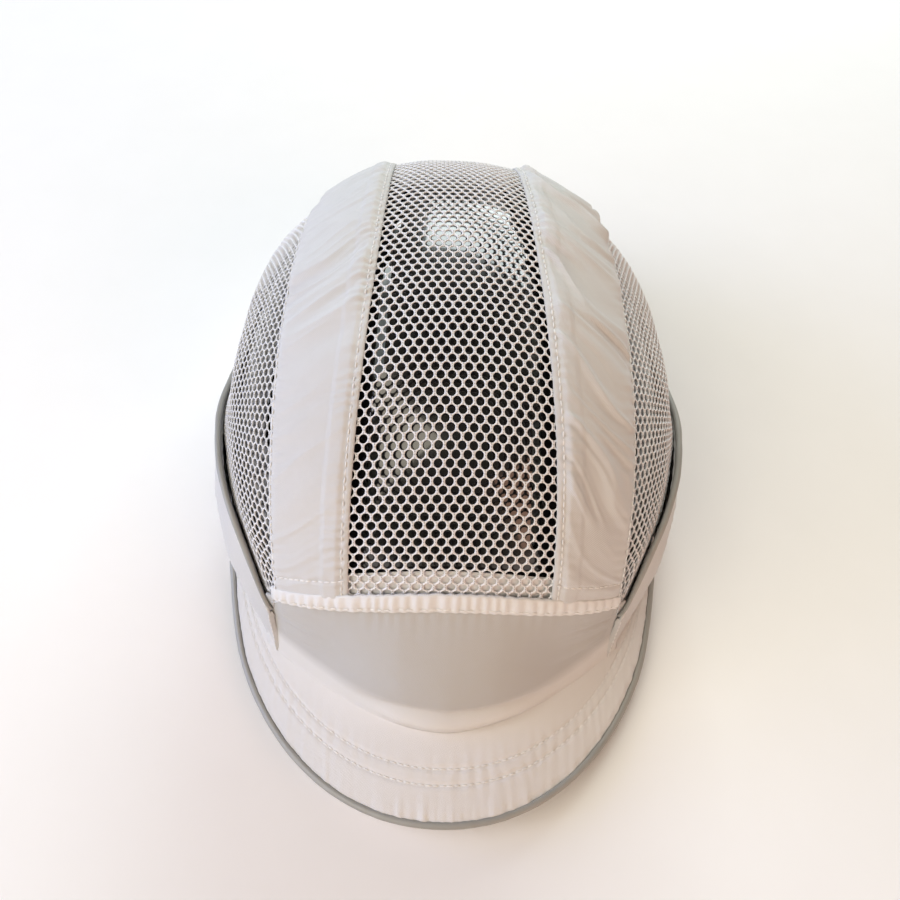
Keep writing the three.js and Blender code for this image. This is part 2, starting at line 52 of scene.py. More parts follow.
back = Vector(
    (
        math.sin(CAMERA_AZIMUTH) * math.cos(CAMERA_ELEVATION),
        -math.cos(CAMERA_AZIMUTH) * math.cos(CAMERA_ELEVATION),
        math.sin(CAMERA_ELEVATION),
    )
)
level = Vector((math.cos(CAMERA_AZIMUTH), math.sin(CAMERA_AZIMUTH), 0))
upward = back.cross(level)
across = level * math.cos(CAMERA_ROLL) + upward * math.sin(CAMERA_ROLL)
upward = back.cross(across)
bpy.ops.object.camera_add()
camera = bpy.context.object
camera.matrix_world = Matrix.Translation(CAMERA_TARGET + back * CAMERA_DISTANCE) @ (
    Matrix((across, upward, back)).transposed().to_4x4()
)
camera.data.sensor_width = 36
camera.data.lens = 32.08
camera.data.shift_y = -0.0667
camera.data.clip_start = 0.01
bpy.context.scene.camera = camera

# ------------------------------------------------------------------ floor and light
# A pale matt floor under a soft window behind the crown, two more windows at the left
# of the view, and a warm lamp at its right.


class Wire:
    """One output of a material's nodes. Sums and products of wires add nodes."""

    def __init__(self, finish, socket):
        self.finish = finish
        self.socket = socket

    def _maths(self, operation, first, second=0.0):
        settings = {"operation": operation}
        return self.finish.node("Math", settings, {0: first, 1: second})

    def __add__(self, other):
        return self._maths("ADD", self, other)

    def __mul__(self, other):
        return self._maths("MULTIPLY", self, other)

    def __sub__(self, other):
        return self._maths("SUBTRACT", self, other)

    def __truediv__(self, other):
        return self._maths("DIVIDE", self, other)

    def sine(self):
        return self._maths("SINE", self)

    def fraction(self):
        return self._maths("FRACT", self)

    def above(self, edge, softness):
        """0 below the edge and 1 above it, over a soft step."""
        raised = self._maths("SUBTRACT", self, edge - softness / 2)
        scaled = self._maths("DIVIDE", raised, softness)
        return self.finish.node("Clamp", {}, {"Value": scaled})

    __radd__ = __add__
    __rmul__ = __mul__


class Finish:
    """A material, with its shader's sockets and the nodes that feed them."""

    def __init__(self, name, colour, roughness, **constants):
        self.material = bpy.data.materials.new(name)
        self.material.use_nodes = True
        self.tree = self.material.node_tree
        self.shader = self.tree.nodes["Principled BSDF"]
        self.set("Base Color", (*colour, 1))
        self.set("Roughness", roughness)
        for label, value in constants.items():
            self.set(label.replace("_", " "), value)

    def set(self, label, value):
        socket = self.shader.inputs[label]
        if isinstance(value, Wire):
            self.tree.links.new(value.socket, socket)
        else:
            socket.default_value = value

    def node(self, kind, settings, inputs, output=0):
        node = self.tree.nodes.new("ShaderNode" + kind)
        for key, value in settings.items():
            setattr(node, key, value)
        for key, value in inputs.items():
            if isinstance(value, Wire):
                self.tree.links.new(value.socket, node.inputs[key])
            else:
                node.inputs[key].default_value = value
        return Wire(self, node.outputs[output])

    def place(self):
        return self.node("TexCoord", {}, {}, "Object")

    def cloth_mm(self):
        uv = self.node("UVMap", {"uv_map": "UVMap"}, {})
        u = self.node("SeparateXYZ", {}, {"Vector": uv}, "X")
        v = self.node("SeparateXYZ", {}, {"Vector": uv}, "Y")
        return uv, u, v

    def noise(self, vector, scale, detail=3.0, rough=0.55):
        inputs = {
            "Vector": vector,
            "Scale": scale,
            "Detail": detail,
            "Roughness": rough,
        }
        return self.node("TexNoise", {}, inputs, "Fac")

    def blend(self, share, low, high):
        inputs = {0: share, 6: (*low, 1), 7: (*high, 1)}
        return self.node("Mix", {"data_type": "RGBA"}, inputs, 2)

    def bump(self, height, distance, strength=1.0):
        """Adds a relief, in metres, over the one that is there."""
        inputs = {"Height": height, "Distance": distance, "Strength": strength}
        before = self.shader.inputs["Normal"]
        if before.is_linked:
            inputs["Normal"] = Wire(self, before.links[0].from_socket)
        self.set("Normal", self.node("Bump", {}, inputs))


floor_finish = Finish("pale floor", (0.9, 0.9, 0.9), 0.8)
floor_place = floor_finish.place()
floor_grain = floor_finish.noise(floor_place, 30.0)
floor_finish.set(
    "Base Color",
    floor_finish.blend(floor_grain, (0.89, 0.89, 0.885), (0.92, 0.92, 0.918)),
)
FLOOR_SIZE = 8.0
FLOOR_DROP = 0.0003
bpy.ops.mesh.primitive_plane_add(size=FLOOR_SIZE, location=(0, 0, -FLOOR_DROP))
floor = bpy.context.object
floor.name = "floor"
floor.data.materials.append(floor_finish.material)


def soft_light(name, place, aim, size, power, colour):
    bpy.ops.object.light_add(type="AREA", location=place)
    light = bpy.context.object
    light.name = name
    light.data.shape = "RECTANGLE"
    light.data.size, light.data.size_y = size
    light.data.energy = power
    light.data.color = colour
    towards = Vector(aim) - Vector(place)
    light.rotation_euler = towards.to_track_quat("-Z", "Y").to_euler()


AIM = (0, 0, 0.06)
soft_light("back window", (0.34, 1.22, 0.82), AIM, (1.05, 0.64), 15.6, (0.88, 0.98, 0.98))
soft_light("left window", (-1.39, 0.0, 0.63), AIM, (0.9, 0.9), 12, (0.44, 0.55, 0.98))
soft_light("front window", (-0.84, -0.58, 1.15), AIM, (1.3, 1.3), 17.2, (1.0, 0.915, 0.77))
soft_light("room lamp", (0.98, -0.98, 0.63), AIM, (1.1, 1.1), 8, (1.0, 0.57, 0.40))
world_colour = (1.0, 0.94, 0.72, 1)
world = bpy.data.worlds.new("studio")
bpy.context.scene.world = world
world.use_nodes = True
world.node_tree.nodes["Background"].inputs["Color"].default_value = world_colour
world.node_tree.nodes["Background"].inputs["Strength"].default_value = 0.11
bpy.context.scene.view_settings.view_transform = "Standard"

# ------------------------------------------------------------------ hard shell
# A thin bowl of glossy black ABS with a raised middle panel and vent slots, moulded in
# one piece. The sewn cover is pulled over it. All sizes below are in millimetres.
HALF_WIDTH = 91.5
HALF_LENGTH = 116.8
RISE = 122.0
POWER = 2.29
SKIRT = 6.0
LEAN = 0.12
FLARE = 0.1
CENTRE_Y = 22.9
SHELL_DEPTH = 4.5
SHELL_WALL = 2.2
RIDGE_RAISE = 1.5
SLOT_HALF = 2.6
RIDGE_SLOT_HALF = 1.9


def mix(a, b, t):
    return a + (b - a) * t


def ease(t):
    t = np.clip(t, 0, 1)
    return t * t * (3 - 2 * t)


def power(v):
    return np.abs(v) ** POWER


def root(v):
    return np.maximum(v, 0) ** (1 / POWER)


def axes(depth):
    return HALF_WIDTH - depth, HALF_LENGTH - depth, RISE - depth


def shaped(p):
    """Leans and flares points of the plain dome into the crown's form."""
    x, y, rise = p[..., 0], p[..., 1], p[..., 2]
    high = np.where(y < 0, 1.0, np.clip(rise / RISE, 0, 1))
    flare = 1 - FLARE * high * y / HALF_LENGTH
    return np.stack([x * flare, y - LEAN * np.maximum(rise, 0), rise + SKIRT], -1)


def over(x, degrees, depth=0.0):
    """On the dome at x, at an angle from the front horizon over the top."""
    a, b, h = axes(depth)
    c, s = np.cos(np.radians(degrees)), np.sin(np.radians(degrees))
    r = root((1 - power(x / a)) / (power(c / b) + power(s / h)))
    return np.stack(np.broadcast_arrays(x, -r * c, r * s), -1)


def around(degrees, z, depth=0.0):
    """On the dome at an azimuth from the front, at a height z."""
    a, b, h = axes(depth)
    rise = z - SKIRT
    s, c = np.sin(np.radians(degrees)), np.cos(np.radians(degrees))
    shrink = np.where(rise > 0, root(1 - power(rise / h)), 1.0)
    r = shrink / root(power(s / a) + power(c / b))
    return np.stack(np.broadcast_arrays(r * s, -r * c, rise), -1)


def behind(x, z, depth=0.0):
    """On the dome's back at x and a height z."""
    a, b, h = axes(depth)
    rise = z - SKIRT
    y = b * root(1 - power(x / a) - power(np.maximum(rise, 0) / h))
    return np.stack(np.broadcast_arrays(x, y, rise), -1)


def projected(p, depth=0.0):
    """Points moved on to the dome along their rays from its middle."""
    a, b, h = axes(depth)
    k = 1 / root(power(p[..., 0] / a) + power(p[..., 1] / b) + power(p[..., 2] / h))
    return p * k[..., None]


def field(nu, nv):
    """A grid of shares from 0 to 1, over u and v."""
    return np.meshgrid(np.linspace(0, 1, nu + 1), np.linspace(0, 1, nv + 1), indexing="ij")


def outward(points, inside=(0, 0, 30.0)):
    """Unit normals of a grid of points, facing away from a place inside the piece."""
    n = np.cross(np.gradient(points, axis=0), np.gradient(points, axis=1))
    n /= np.maximum(np.linalg.norm(n, axis=-1, keepdims=True), 1e-9)
    return n * np.sign(np.sum(n * (points - np.array(inside))))


def start_clean():
    """Object mode, with nothing selected."""
    if bpy.context.object and bpy.context.object.mode != "OBJECT":
        bpy.ops.object.mode_set(mode="OBJECT")
    bpy.ops.object.select_all(action="DESELECT")


def picked(*pieces):
    """Selects only these pieces, with the first one active."""
    start_clean()
    for piece in pieces:
        piece.select_set(True)
    bpy.context.view_layer.objects.active = pieces[0]


def one_piece(name, pieces):
    picked(*pieces)
    bpy.ops.object.join()
    pieces[0].name = name
    return pieces[0]


def crisp(piece, degrees=35):
    """Shades a piece smooth but for its sharp edges."""
    picked(piece)
    bpy.ops.object.shade_smooth_by_angle(angle=math.radians(degrees))


def to_metres(points):
    """From the dome's millimetres to the frame's metres."""
    return (np.asarray(points) + np.array([0, CENTRE_Y, 0])) / 1000


def modified(piece, kind, **settings):
    modifier = piece.modifiers.new(kind.title(), kind)
    for key, value in settings.items():
        setattr(modifier, key, value)
    bpy.context.view_layer.objects.active = piece
    bpy.ops.object.modifier_apply(modifier=modifier.name)


def thickened(piece, wall):
    """Gives a sheet a wall of so many millimetres, inwards."""
    modified(piece, "SOLIDIFY", thickness=wall / 1000, offset=-1)


def rounded_edges(piece, width, segments, degrees):
    angle = math.radians(degrees)
    settings = {"width": width / 1000, "segments": segments, "angle_limit": angle}
    modified(piece, "BEVEL", limit_method="ANGLE", **settings)


def net(name, points, size=(1.0, 1.0), inside=(0, 0, 30.0)):
    """A grid primitive laid on a grid of points, with UVs in millimetres."""
    nu, nv = points.shape[0] - 1, points.shape[1] - 1
    start_clean()
    bpy.ops.mesh.primitive_grid_add(x_subdivisions=nu, y_subdivisions=nv, size=1)
    piece = bpy.context.object
    piece.name = name
    mesh = piece.data
    mesh.name = name
    flat = np.empty(len(mesh.vertices) * 3)
    mesh.vertices.foreach_get("co", flat)
    flat = flat.reshape(-1, 3)
    i = np.rint((flat[:, 0] + 0.5) * nu).astype(int)
    j = np.rint((flat[:, 1] + 0.5) * nv).astype(int)
    mesh.vertices.foreach_set("co", to_metres(points[i, j]).ravel())
    uv = np.empty(len(mesh.loops) * 2)
    mesh.uv_layers[0].data.foreach_get("uv", uv)
    mesh.uv_layers[0].data.foreach_set("uv", (uv.reshape(-1, 2) * size).ravel())
    mesh.uv_layers[0].name = "UVMap"
    mesh.update()
    middle = points[nu // 2, nv // 2]
    du = points[nu // 2 + 1, nv // 2] - middle
    dv = points[nu // 2, nv // 2 + 1] - middle
    normal = np.cross(du, dv)
    if np.dot(normal, middle - np.array(inside)) < 0:
        bpy.ops.object.mode_set(mode="EDIT")
        bpy.ops.mesh.select_all(action="SELECT")
        bpy.ops.mesh.flip_normals()
        bpy.ops.object.mode_set(mode="OBJECT")
    return piece


def finished(piece, finish, body, slot, *nodes):
    """Gives a piece its material, the body it rides on and its CAD nodes. The slot is not used.
    """
    piece.data.materials.clear()
    piece.data.materials.append(finish.material)
    for polygon in piece.data.polygons:
        polygon.use_smooth = True
    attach(piece, body)
    if nodes:
        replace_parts(piece, *nodes)
    return piece


def mirrored(piece, name):
    """A copy of a piece on the cap's other side, with its own mesh."""
    picked(piece)
    bpy.ops.object.duplicate()
    twin = bpy.context.object
    twin.name = name
    twin.data.name = name
    twin.data.transform(Matrix.Scale(-1, 4, (1, 0, 0)))
    twin.data.flip_normals()
    if "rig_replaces" in twin:
        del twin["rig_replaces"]
    return twin


def shell_edge(degrees):
    """The height of the shell's edge, which rises at the back."""
    turn = np.abs(degrees)
    return 30 - 6 * ease((turn - 40) / 40) + 32 * ease((turn - 112) / 32)


def ridge_half(y):
    return 24 - 8 * ease((y + 10) / 60)


def shell_point(degrees, s, depth):
    """On the shell: s is 0 at the crown and 1 at the edge."""
    edge = around(degrees, shell_edge(degrees), depth)
    low = np.arctan2(edge[..., 2], np.hypot(edge[..., 0], edge[..., 1]))
    e = mix(np.pi / 2, low, s)
    ray = np.stack(
        [
            np.sin(np.radians(degrees)) * np.cos(e),
            -np.cos(np.radians(degrees)) * np.cos(e),
            np.sin(e),
        ],
        -1,
    )
    flat = projected(ray, depth)
    side = ease((ridge_half(flat[..., 1]) + 3 - np.abs(flat[..., 0])) / 3)
    k = RIDGE_RAISE * side / np.linalg.norm(flat, axis=-1)
    return shaped(flat * (1 + k[..., None]))


u, v = field(110, 110)
disc_x = (2 * u - 1) * np.sqrt(1 - (2 * v - 1) ** 2 / 2)
disc_y = (2 * v - 1) * np.sqrt(1 - (2 * u - 1) ** 2 / 2)
reach = np.minimum(np.hypot(disc_x, disc_y), 1)
turn = np.degrees(np.arctan2(disc_x, -disc_y))
shell = net("hard_shell_moulding", shell_point(turn, reach, SHELL_DEPTH))
thickened(shell, SHELL_WALL)


def slot_cutter(low, high, x_at, half):
    u, v = field(16, 2)
    degrees = mix(low, high, u)
    # the sides draw in towards the ends, which rounds them
    narrow = np.sqrt(np.clip(1 - np.abs(2 * u - 1) ** 12, 0.04, 1))
    x = x_at(degrees) + mix(-half, half, v) * narrow
    cutter = net("slot", shaped(over(x, degrees, -6.0)))
    thickened(cutter, 20)
    return cutter


def beside_ridge(side):
    return lambda degrees: side * (25.5 - 7 * ease((degrees - 85) / 40))


def at(x):
    return lambda degrees: x + 0 * degrees


cutters = []
for side in (-1, 1):
    for low, high in ((42, 64), (69, 92), (97, 116)):
        cutters.append(slot_cutter(low, high, beside_ridge(side), RIDGE_SLOT_HALF))
    for low, high, x in ((48, 66, 44), (74, 96, 46), (104, 122, 44)):
        cutters.append(slot_cutter(low, high, at(side * x), SLOT_HALF))
    for low, high, x in ((56, 74, 64), (84, 104, 66)):
        cutters.append(slot_cutter(low, high, at(side * x), SLOT_HALF))
cutter = one_piece("slots", cutters)
modified(shell, "BOOLEAN", operation="DIFFERENCE", object=cutter, solver="EXACT")
bpy.data.objects.remove(cutter)

abs_finish = Finish(
    "glossy black ABS", (0.010, 0.010, 0.011), 0.16, Coat_Weight=1.0, Coat_Roughness=0.05
)
abs_place = abs_finish.place()
dust = abs_finish.noise(abs_place, 900.0, 2.0)
haze = abs_finish.noise(abs_place, 35.0, 4.0)
abs_finish.set("Roughness", 0.12 + 0.14 * haze)
abs_finish.set(
    "Base Color",
    abs_finish.blend(dust.above(0.66, 0.1), (0.009, 0.009, 0.010), (0.022, 0.022, 0.023)),
)
abs_finish.bump(haze, 0.0003, 0.25)
finished(shell, abs_finish, "cap", "shell", "hard_shell")
crisp(shell, 40)

# ------------------------------------------------------------------ foam pads
# Die-cut EVA foam, five pieces. They are stuck inside the shell where it meets the
# head: crown, brow, back and both sides.
PAD_DEPTH = 7.1
PAD_THICKNESS = 5.0
PAD_EDGE = 1.4
PAD_CORNER = 9

foam = Finish("black EVA foam", (0.030, 0.031, 0.034), 0.93)
foam_place = foam.place()
cells = foam.node("TexVoronoi", {}, {"Vector": foam_place, "Scale": 1400.0}, "Distance")
foam_patch = foam.noise(foam_place, 60.0)
foam.set("Base Color", foam.blend(foam_patch, (0.022, 0.023, 0.026), (0.045, 0.046, 0.05)))
foam.bump(cells, 0.0002, 0.8)


def pad(name, node, points):
    piece = net(name, points)
    thickened(piece, PAD_THICKNESS)
    rounded_edges(piece, PAD_EDGE, 3, 50)
    return finished(piece, foam, "cap", "foam", node)


def rounded(u, v, across, along, corner):
    """Draws a patch's corners in, so that they are round."""
    x, y = (u - 0.5) * across, (v - 0.5) * along
    inner_x = np.clip(x, -across / 2 + corner, across / 2 - corner)
    inner_y = np.clip(y, -along / 2 + corner, along / 2 - corner)
    dx, dy = (x - inner_x) / corner, (y - inner_y) / corner
    square = np.maximum(np.abs(dx), np.abs(dy))
    shrink = np.where(square > 0, square / np.maximum(np.hypot(dx, dy), 1e-9), 1.0)
    x, y = inner_x + dx * shrink * corner, inner_y + dy * shrink * corner
    return x / across + 0.5, y / along + 0.5


u, v = field(24, 60)
u, v = rounded(u, v, 30, 100, PAD_CORNER)
crown = over(mix(-15, 15, u), mix(68, 118, v), PAD_DEPTH)
pad("crown_foam", "crown_pad", shaped(crown))
u, v = field(56, 20)
wide_u, wide_v = rounded(u, v, 108, 30, PAD_CORNER)
front = around(mix(-30, 30, wide_u), mix(52, 78, wide_v), PAD_DEPTH)
pad("front_foam", "front_pad", shaped(front))
rear = around(mix(154, 206, wide_u), mix(68, 90, wide_v), PAD_DEPTH)
pad("rear_foam", "rear_pad", shaped(rear))
side = around(mix(66, 114, wide_u), mix(42, 70, wide_v), PAD_DEPTH)
left_pad = pad("left_side_foam", "left_side_pad", shaped(side))
right_pad = mirrored(left_pad, "right_side_foam")
finished(right_pad, foam, "cap", "foam", "right_side_pad")

# ------------------------------------------------------------------ mesh panels
# White knitted polyester mesh with staggered hexagonal holes, stretched over the shell:
# one panel over the middle and a crescent at each side, all sewn in under the strips.
HOLE_PITCH = 3.24
ROW_PITCH = 2.66
HOLE_WIDTH = 0.80
HOLE_LENGTH = 0.985
YARN_DEPTH = 0.55
YARN_ROUND = 0.14
STRIP_INNER_FRONT = 29.0
STRIP_INNER_BACK = 25.3
STRIP_OUTER_FRONT = 53.5
STRIP_OUTER_BACK = 58.5
V_FRONT = 31.6
V_BACK = 152.7
FRONT_BLEND = 14.0
RIM_END = 152.0
PIPING_RISE = 68.0
PIPING_R = 1.3
PANEL_HALF = 59.0


def strip_inner(degrees):
    return mix(STRIP_INNER_FRONT, STRIP_INNER_BACK, ease((degrees - 35) / 85))


def strip_outer(degrees):
    top = mix(STRIP_OUTER_FRONT, STRIP_OUTER_BACK, ease((degrees - 28) / 80))
    return top + 2.7 * ease((28 - degrees) / 10) - 9 * ease((degrees - 115) / 42)


def front_seam(x):
    return 35.4 - 7.6 * (x / STRIP_OUTER_FRONT) ** 2


def rear_seam_z(x):
    return 64 - 14 * (x / 49.5) ** 4


def rear_seam(x):
    p = behind(x, rear_seam_z(x) + 0.8)
    return 180 - np.degrees(np.arctan2(p[..., 2], p[..., 1]))


def piping_z(degrees):
    """The height of the seam under the piping, which falls at both ends."""
    fall = 36 * np.exp(-(degrees - V_FRONT) / 8.5) + 24 * np.exp(-(V_BACK - degrees) / 12)
    sag = 6.5 * ease((degrees - 33) / 16) + 3 * ease((degrees - 62) / 50)
    return SKIRT + PIPING_RISE - fall - sag * ease((150 - degrees) / 24)


def pulled_in(points, degrees, share):
    """Moves points towards the head behind the ears, where the rim draws the cloth in."""
    depth = 3.4 * ease((degrees - 66) / 26) * ease((154 - degrees) / 20) * share
    flat = points * np.array([1, 1, 0])
    return points - flat * (depth / np.linalg.norm(flat, axis=-1))[..., None]


def peak_z(x, y):
    return 22 + 0.2 * (y + HALF_LENGTH) - 24 * (x / 85) ** 2


def panel_point(u, v):
    """On the front panel: u across it and v from the seam down to the peak."""
    seam_x = mix(-STRIP_OUTER_FRONT, STRIP_OUTER_FRONT, u)
    top = shaped(over(seam_x, front_seam(seam_x) - 3.1, 0.3))
    x = mix(-PANEL_HALF, PANEL_HALF, u) * 1.03
    y = -134 + 27 * (np.abs(x) / 58.5) ** 1.7
    sunk = 0.7 - 1.4 * ease((np.abs(x - 6) - 14) / 22)
    foot = np.stack(np.broadcast_arrays(x, y, peak_z(x, y) + sunk), -1)
    t = np.asarray(v)[..., None]
    bulge = mix(top, foot, 0.55) + np.array([0, -5, 2.0])
    runout = foot + np.array([0, 9.0, 3.2])
    side = ease((np.abs(x) - 14) / 34)[..., None]
    belly = mix(bulge, mix(top, runout, 0.8), side * 0.8)
    return (1 - t) ** 2 * top + 2 * t * (1 - t) * belly + t**2 * foot


def forward(degrees, v, on_dome):
    """How far the side's sewn edge comes off the dome to meet the front panel."""
    share = ease((V_FRONT + FRONT_BLEND - degrees) / FRONT_BLEND)
    overlap = np.stack(np.broadcast_arrays(2.8 * v - 0.4, -0.5, 0.3), -1)
    seam = panel_point(np.ones_like(degrees), mix(1, 0.27, v)) + overlap
    return (seam - on_dome) * share[..., None]


def arc_table(points):
    """Distance along a line of points."""
    steps = np.linalg.norm(np.diff(points, axis=0), axis=1)
    return np.concatenate([[0], np.cumsum(steps)])


def drift(a, b, seed):
    """A smooth irregular height between -1 and 1, about one swell to each unit."""
    i, j = np.floor(a), np.floor(b)
    fa, fb = a - i, b - j
    fa, fb = fa * fa * (3 - 2 * fa), fb * fb * (3 - 2 * fb)

    def corner(m, n):
        h = np.sin(m * 127.1 + n * 311.7 + seed * 74.7) * 43758.5453
        return 2 * (h - np.floor(h)) - 1

    low = mix(corner(i, j), corner(i + 1, j), fa)
    high = mix(corner(i, j + 1), corner(i + 1, j + 1), fa)
    return mix(low, high, fb)


def honeycomb(name, width, length, kept):
    """Flat knitted mesh in millimetres, of the hexagons whose middles are kept."""
    columns = int(width / HOLE_PITCH) + 3
    rows = int(length / ROW_PITCH) + 3
    start_clean()
    bpy.ops.mesh.primitive_circle_add(vertices=6, radius=1, fill_type="NGON")
    piece = bpy.context.object
    piece.name = name
    piece.data.name = name
    piece.data.transform(
        Matrix.Diagonal((HOLE_PITCH / 2 / math.cos(math.pi / 6), ROW_PITCH / 1.5, 1, 1))
    )
    start = (-(columns // 2) * HOLE_PITCH, -ROW_PITCH, 0)
    piece.data.transform(Matrix.Translation(start))
    even = (HOLE_PITCH / 2, ROW_PITCH, 0)
    bpy.ops.object.duplicate_move(TRANSFORM_OT_translate={"value": even})
    one_piece(name, [piece, bpy.context.object])
    for count, offset in (
        (columns, (HOLE_PITCH, 0, 0)),
        (rows // 2 + 1, (0, 2 * ROW_PITCH, 0)),
    ):
        modified(
            piece,
            "ARRAY",
            count=count,
            use_relative_offset=False,
            use_constant_offset=True,
            constant_offset_displace=offset,
        )
    mesh = bmesh.new()
    mesh.from_mesh(piece.data)
    bmesh.ops.remove_doubles(mesh, verts=mesh.verts, dist=0.05)
    centres = np.array([face.calc_center_median() for face in mesh.faces])
    keep = kept(centres[:, 0], centres[:, 1])
    gone = [face for face, stays in zip(list(mesh.faces), keep) if not stays]
    bmesh.ops.delete(mesh, geom=gone, context="FACES")
    mesh.to_mesh(piece.data)
    mesh.free()
    bpy.ops.object.mode_set(mode="EDIT")
    bpy.ops.mesh.select_all(action="SELECT")
    bpy.ops.mesh.inset(thickness=0.02, depth=-YARN_ROUND, use_individual=True)
    mesh = bmesh.from_edit_mesh(piece.data)
    for face in mesh.faces:
        if face.select:
            middle = face.calc_center_median()
            for vertex in face.verts:
                vertex.co.x = middle.x + (vertex.co.x - middle.x) * HOLE_WIDTH
                vertex.co.y = middle.y + (vertex.co.y - middle.y) * HOLE_LENGTH
    bmesh.update_edit_mesh(piece.data)
    bpy.ops.mesh.extrude_faces_move(
        TRANSFORM_OT_shrink_fatten={"value": YARN_ROUND - YARN_DEPTH}
    )
    bpy.ops.mesh.delete(type="ONLY_FACE")
    bpy.ops.object.mode_set(mode="OBJECT")
    modified(piece, "SUBSURF", levels=1, render_levels=1)
    return piece


def lay_mesh(piece, place):
    """Moves flat mesh onto the crown by place(s, t, depth), and keeps s and t as its UVs."""
    mesh = piece.data
    flat = np.empty(len(mesh.vertices) * 3)
    mesh.vertices.foreach_get("co", flat)
    flat = flat.reshape(-1, 3)
    while mesh.uv_layers:
        mesh.uv_layers.remove(mesh.uv_layers[0])
    layer = mesh.uv_layers.new(name="UVMap")
    corners = np.empty(len(mesh.loops), dtype=np.int32)
    mesh.loops.foreach_get("vertex_index", corners)
    layer.data.foreach_set("uv", flat[corners, :2].ravel())
    points = place(flat[:, 0], flat[:, 1], -flat[:, 2])
    mesh.vertices.foreach_set("co", to_metres(points).ravel())
    mesh.update()


knit = Finish("white knitted polyester", (0.84, 0.84, 0.85), 0.72, Sheen_Weight=0.25)
knit_uv, knit_u, knit_v = knit.cloth_mm()
loops = ((knit_u * 9.0).sine() + (knit_v * 11.0).sine()) * 0.5
fuzz = knit.noise(knit_uv, 3.5, 4.0, 0.7)
row = knit_v / ROW_PITCH
# pinholes in the upright bars, which stand half a pitch from the hole centres
odd_row = (row * 0.5 + 0.75).fraction().above(0.5, 0.02)
bar = (knit_u / HOLE_PITCH + odd_row * 0.5).fraction() - 0.5
pin_row = (row * 3.0 + 0.5).fraction() - 0.5
pinhole = (bar * bar * 420.0 + pin_row * pin_row * 22.0).above(0.8, 0.8)
# painted shade: a thin darker line down the middle of each upright bar, mixed into the knit's
# colour with the pinholes
bar_hollow_shade = (bar * bar * 90.0).above(0.5, 0.9)
shade = pinhole * 0.7 + bar_hollow_shade * 0.3
knit.set("Base Color", knit.blend(shade, (0.36, 0.35, 0.35), (0.86, 0.86, 0.87)))
knit.bump(fuzz + pinhole * 0.5 + loops * 0.3, 0.00014, 0.9)

degrees_along = np.linspace(28, 150, 400)
line = shaped(over(0.0, degrees_along))
along = arc_table(line)
centre_start = np.interp(front_seam(0.0), degrees_along, along)
centre_end = np.interp(float(rear_seam(0.0)), degrees_along, along)
CENTRE_LENGTH = centre_end - centre_start


def centre_angle(x, t):
    middle = np.interp(t + centre_start, along, degrees_along)
    share = (middle - front_seam(0.0)) / (rear_seam(0.0) - front_seam(0.0))
    return mix(front_seam(x), rear_seam(x), share)


def centre_kept(s, t):
    angle = centre_angle(s, np.clip(t, 0, CENTRE_LENGTH))
    inside = np.abs(s) < strip_inner(angle) + 1.6
    return inside & (t > -1.5) & (t < CENTRE_LENGTH + 3)


def centre_place(s, t, depth):
    ripple = 0.25 * drift(s / 19, t / 23, 3) + 0.12 * drift(s / 6, t / 9, 4)
    stretched = t + 1.0 * (s / 23) ** 2
    return shaped(over(s, centre_angle(s, stretched), depth + 0.45 - ripple))


centre_mesh = honeycomb("centre_mesh", 62, CENTRE_LENGTH, centre_kept)
lay_mesh(centre_mesh, centre_place)
finished(centre_mesh, knit, "cap", "mesh", "centre_mesh_panel")

upper_degrees = np.linspace(20.5, 154, 300)
seam_line = shaped(over(strip_outer(upper_degrees) - 1.4, upper_degrees))
seam_along = arc_table(seam_line)
SIDE_LENGTH = seam_along[-1]


def side_edges(t):
    """The upper and lower seam of the side mesh, t along it from the front."""
    t = np.clip(t, 0, SIDE_LENGTH)
    angle = np.interp(t, seam_along, upper_degrees)
    u = (angle - 20.5) / 133.5
    azimuth = mix(V_FRONT + 1, V_BACK - 1, u)
    upper = over(strip_outer(angle) - 1.4, angle)
    lower = around(azimuth, piping_z(azimuth) + 2 * PIPING_R - 1.5)
    return upper, lower, azimuth


def side_width(t):
    upper, lower, azimuth = side_edges(t)
    return np.linalg.norm(shaped(upper) - shaped(lower), axis=-1) * 1.03


def side_kept(s, t):
    return (s > -0.5) & (s < side_width(t) + 0.8) & (t > 3) & (t < SIDE_LENGTH - 4)


def side_place(s, t, depth):
    upper, lower, azimuth = side_edges(t)
    v = np.clip(s / np.maximum(side_width(t), 1), -0.1, 1.15)
    shift = forward(azimuth, 1.0, shaped(lower)) * ease(v)[..., None]
    ripple = 0.5 * drift(s / 14, t / 17, 7) + 0.2 * drift(s / 6, t / 8, 8)
    slack = 2.0 * ease((azimuth - 62) / 26) * np.exp(-(((v - 0.68) / 0.24) ** 2))
    sink = mix(1.5, 0.3, ease((azimuth - 46) / 24)) * ease(v * 1.2 - 0.2)
    tuck = depth + 0.6 + sink - slack - ripple * ease(1 - np.abs(v - 0.5))
    p = upper + (lower - upper) * v[..., None]
    p = projected(p)
    drawn = p * (1 - tuck / np.linalg.norm(p, axis=-1))[..., None]
    return pulled_in(shaped(drawn) + shift, azimuth, ease((v - 0.6) / 0.4))


left_mesh = honeycomb("left_side_knit", 92, SIDE_LENGTH, side_kept)
lay_mesh(left_mesh, side_place)
right_mesh = mirrored(left_mesh, "right_side_knit")
for piece, node in ((left_mesh, "left_side_mesh"), (right_mesh, "right_side_mesh")):
    finished(piece, knit, "cap", "mesh", node)

# ------------------------------------------------------------------ woven strips
# White polyester twill, one strip at each side of the middle mesh. Each edge is folded
# under and topstitched to the mesh, which gathers the cloth into soft slanting folds.
CLOTH = 0.8
INNER_ROW = 1.8  # rows of stitches, from the cloth's edge
OUTER_ROW = 1.2
CROSS_ROW = 7.0
TWILL_RIB = 0.62

twill = Finish("white polyester twill", (0.82, 0.81, 0.79), 0.66, Sheen_Weight=0.2)
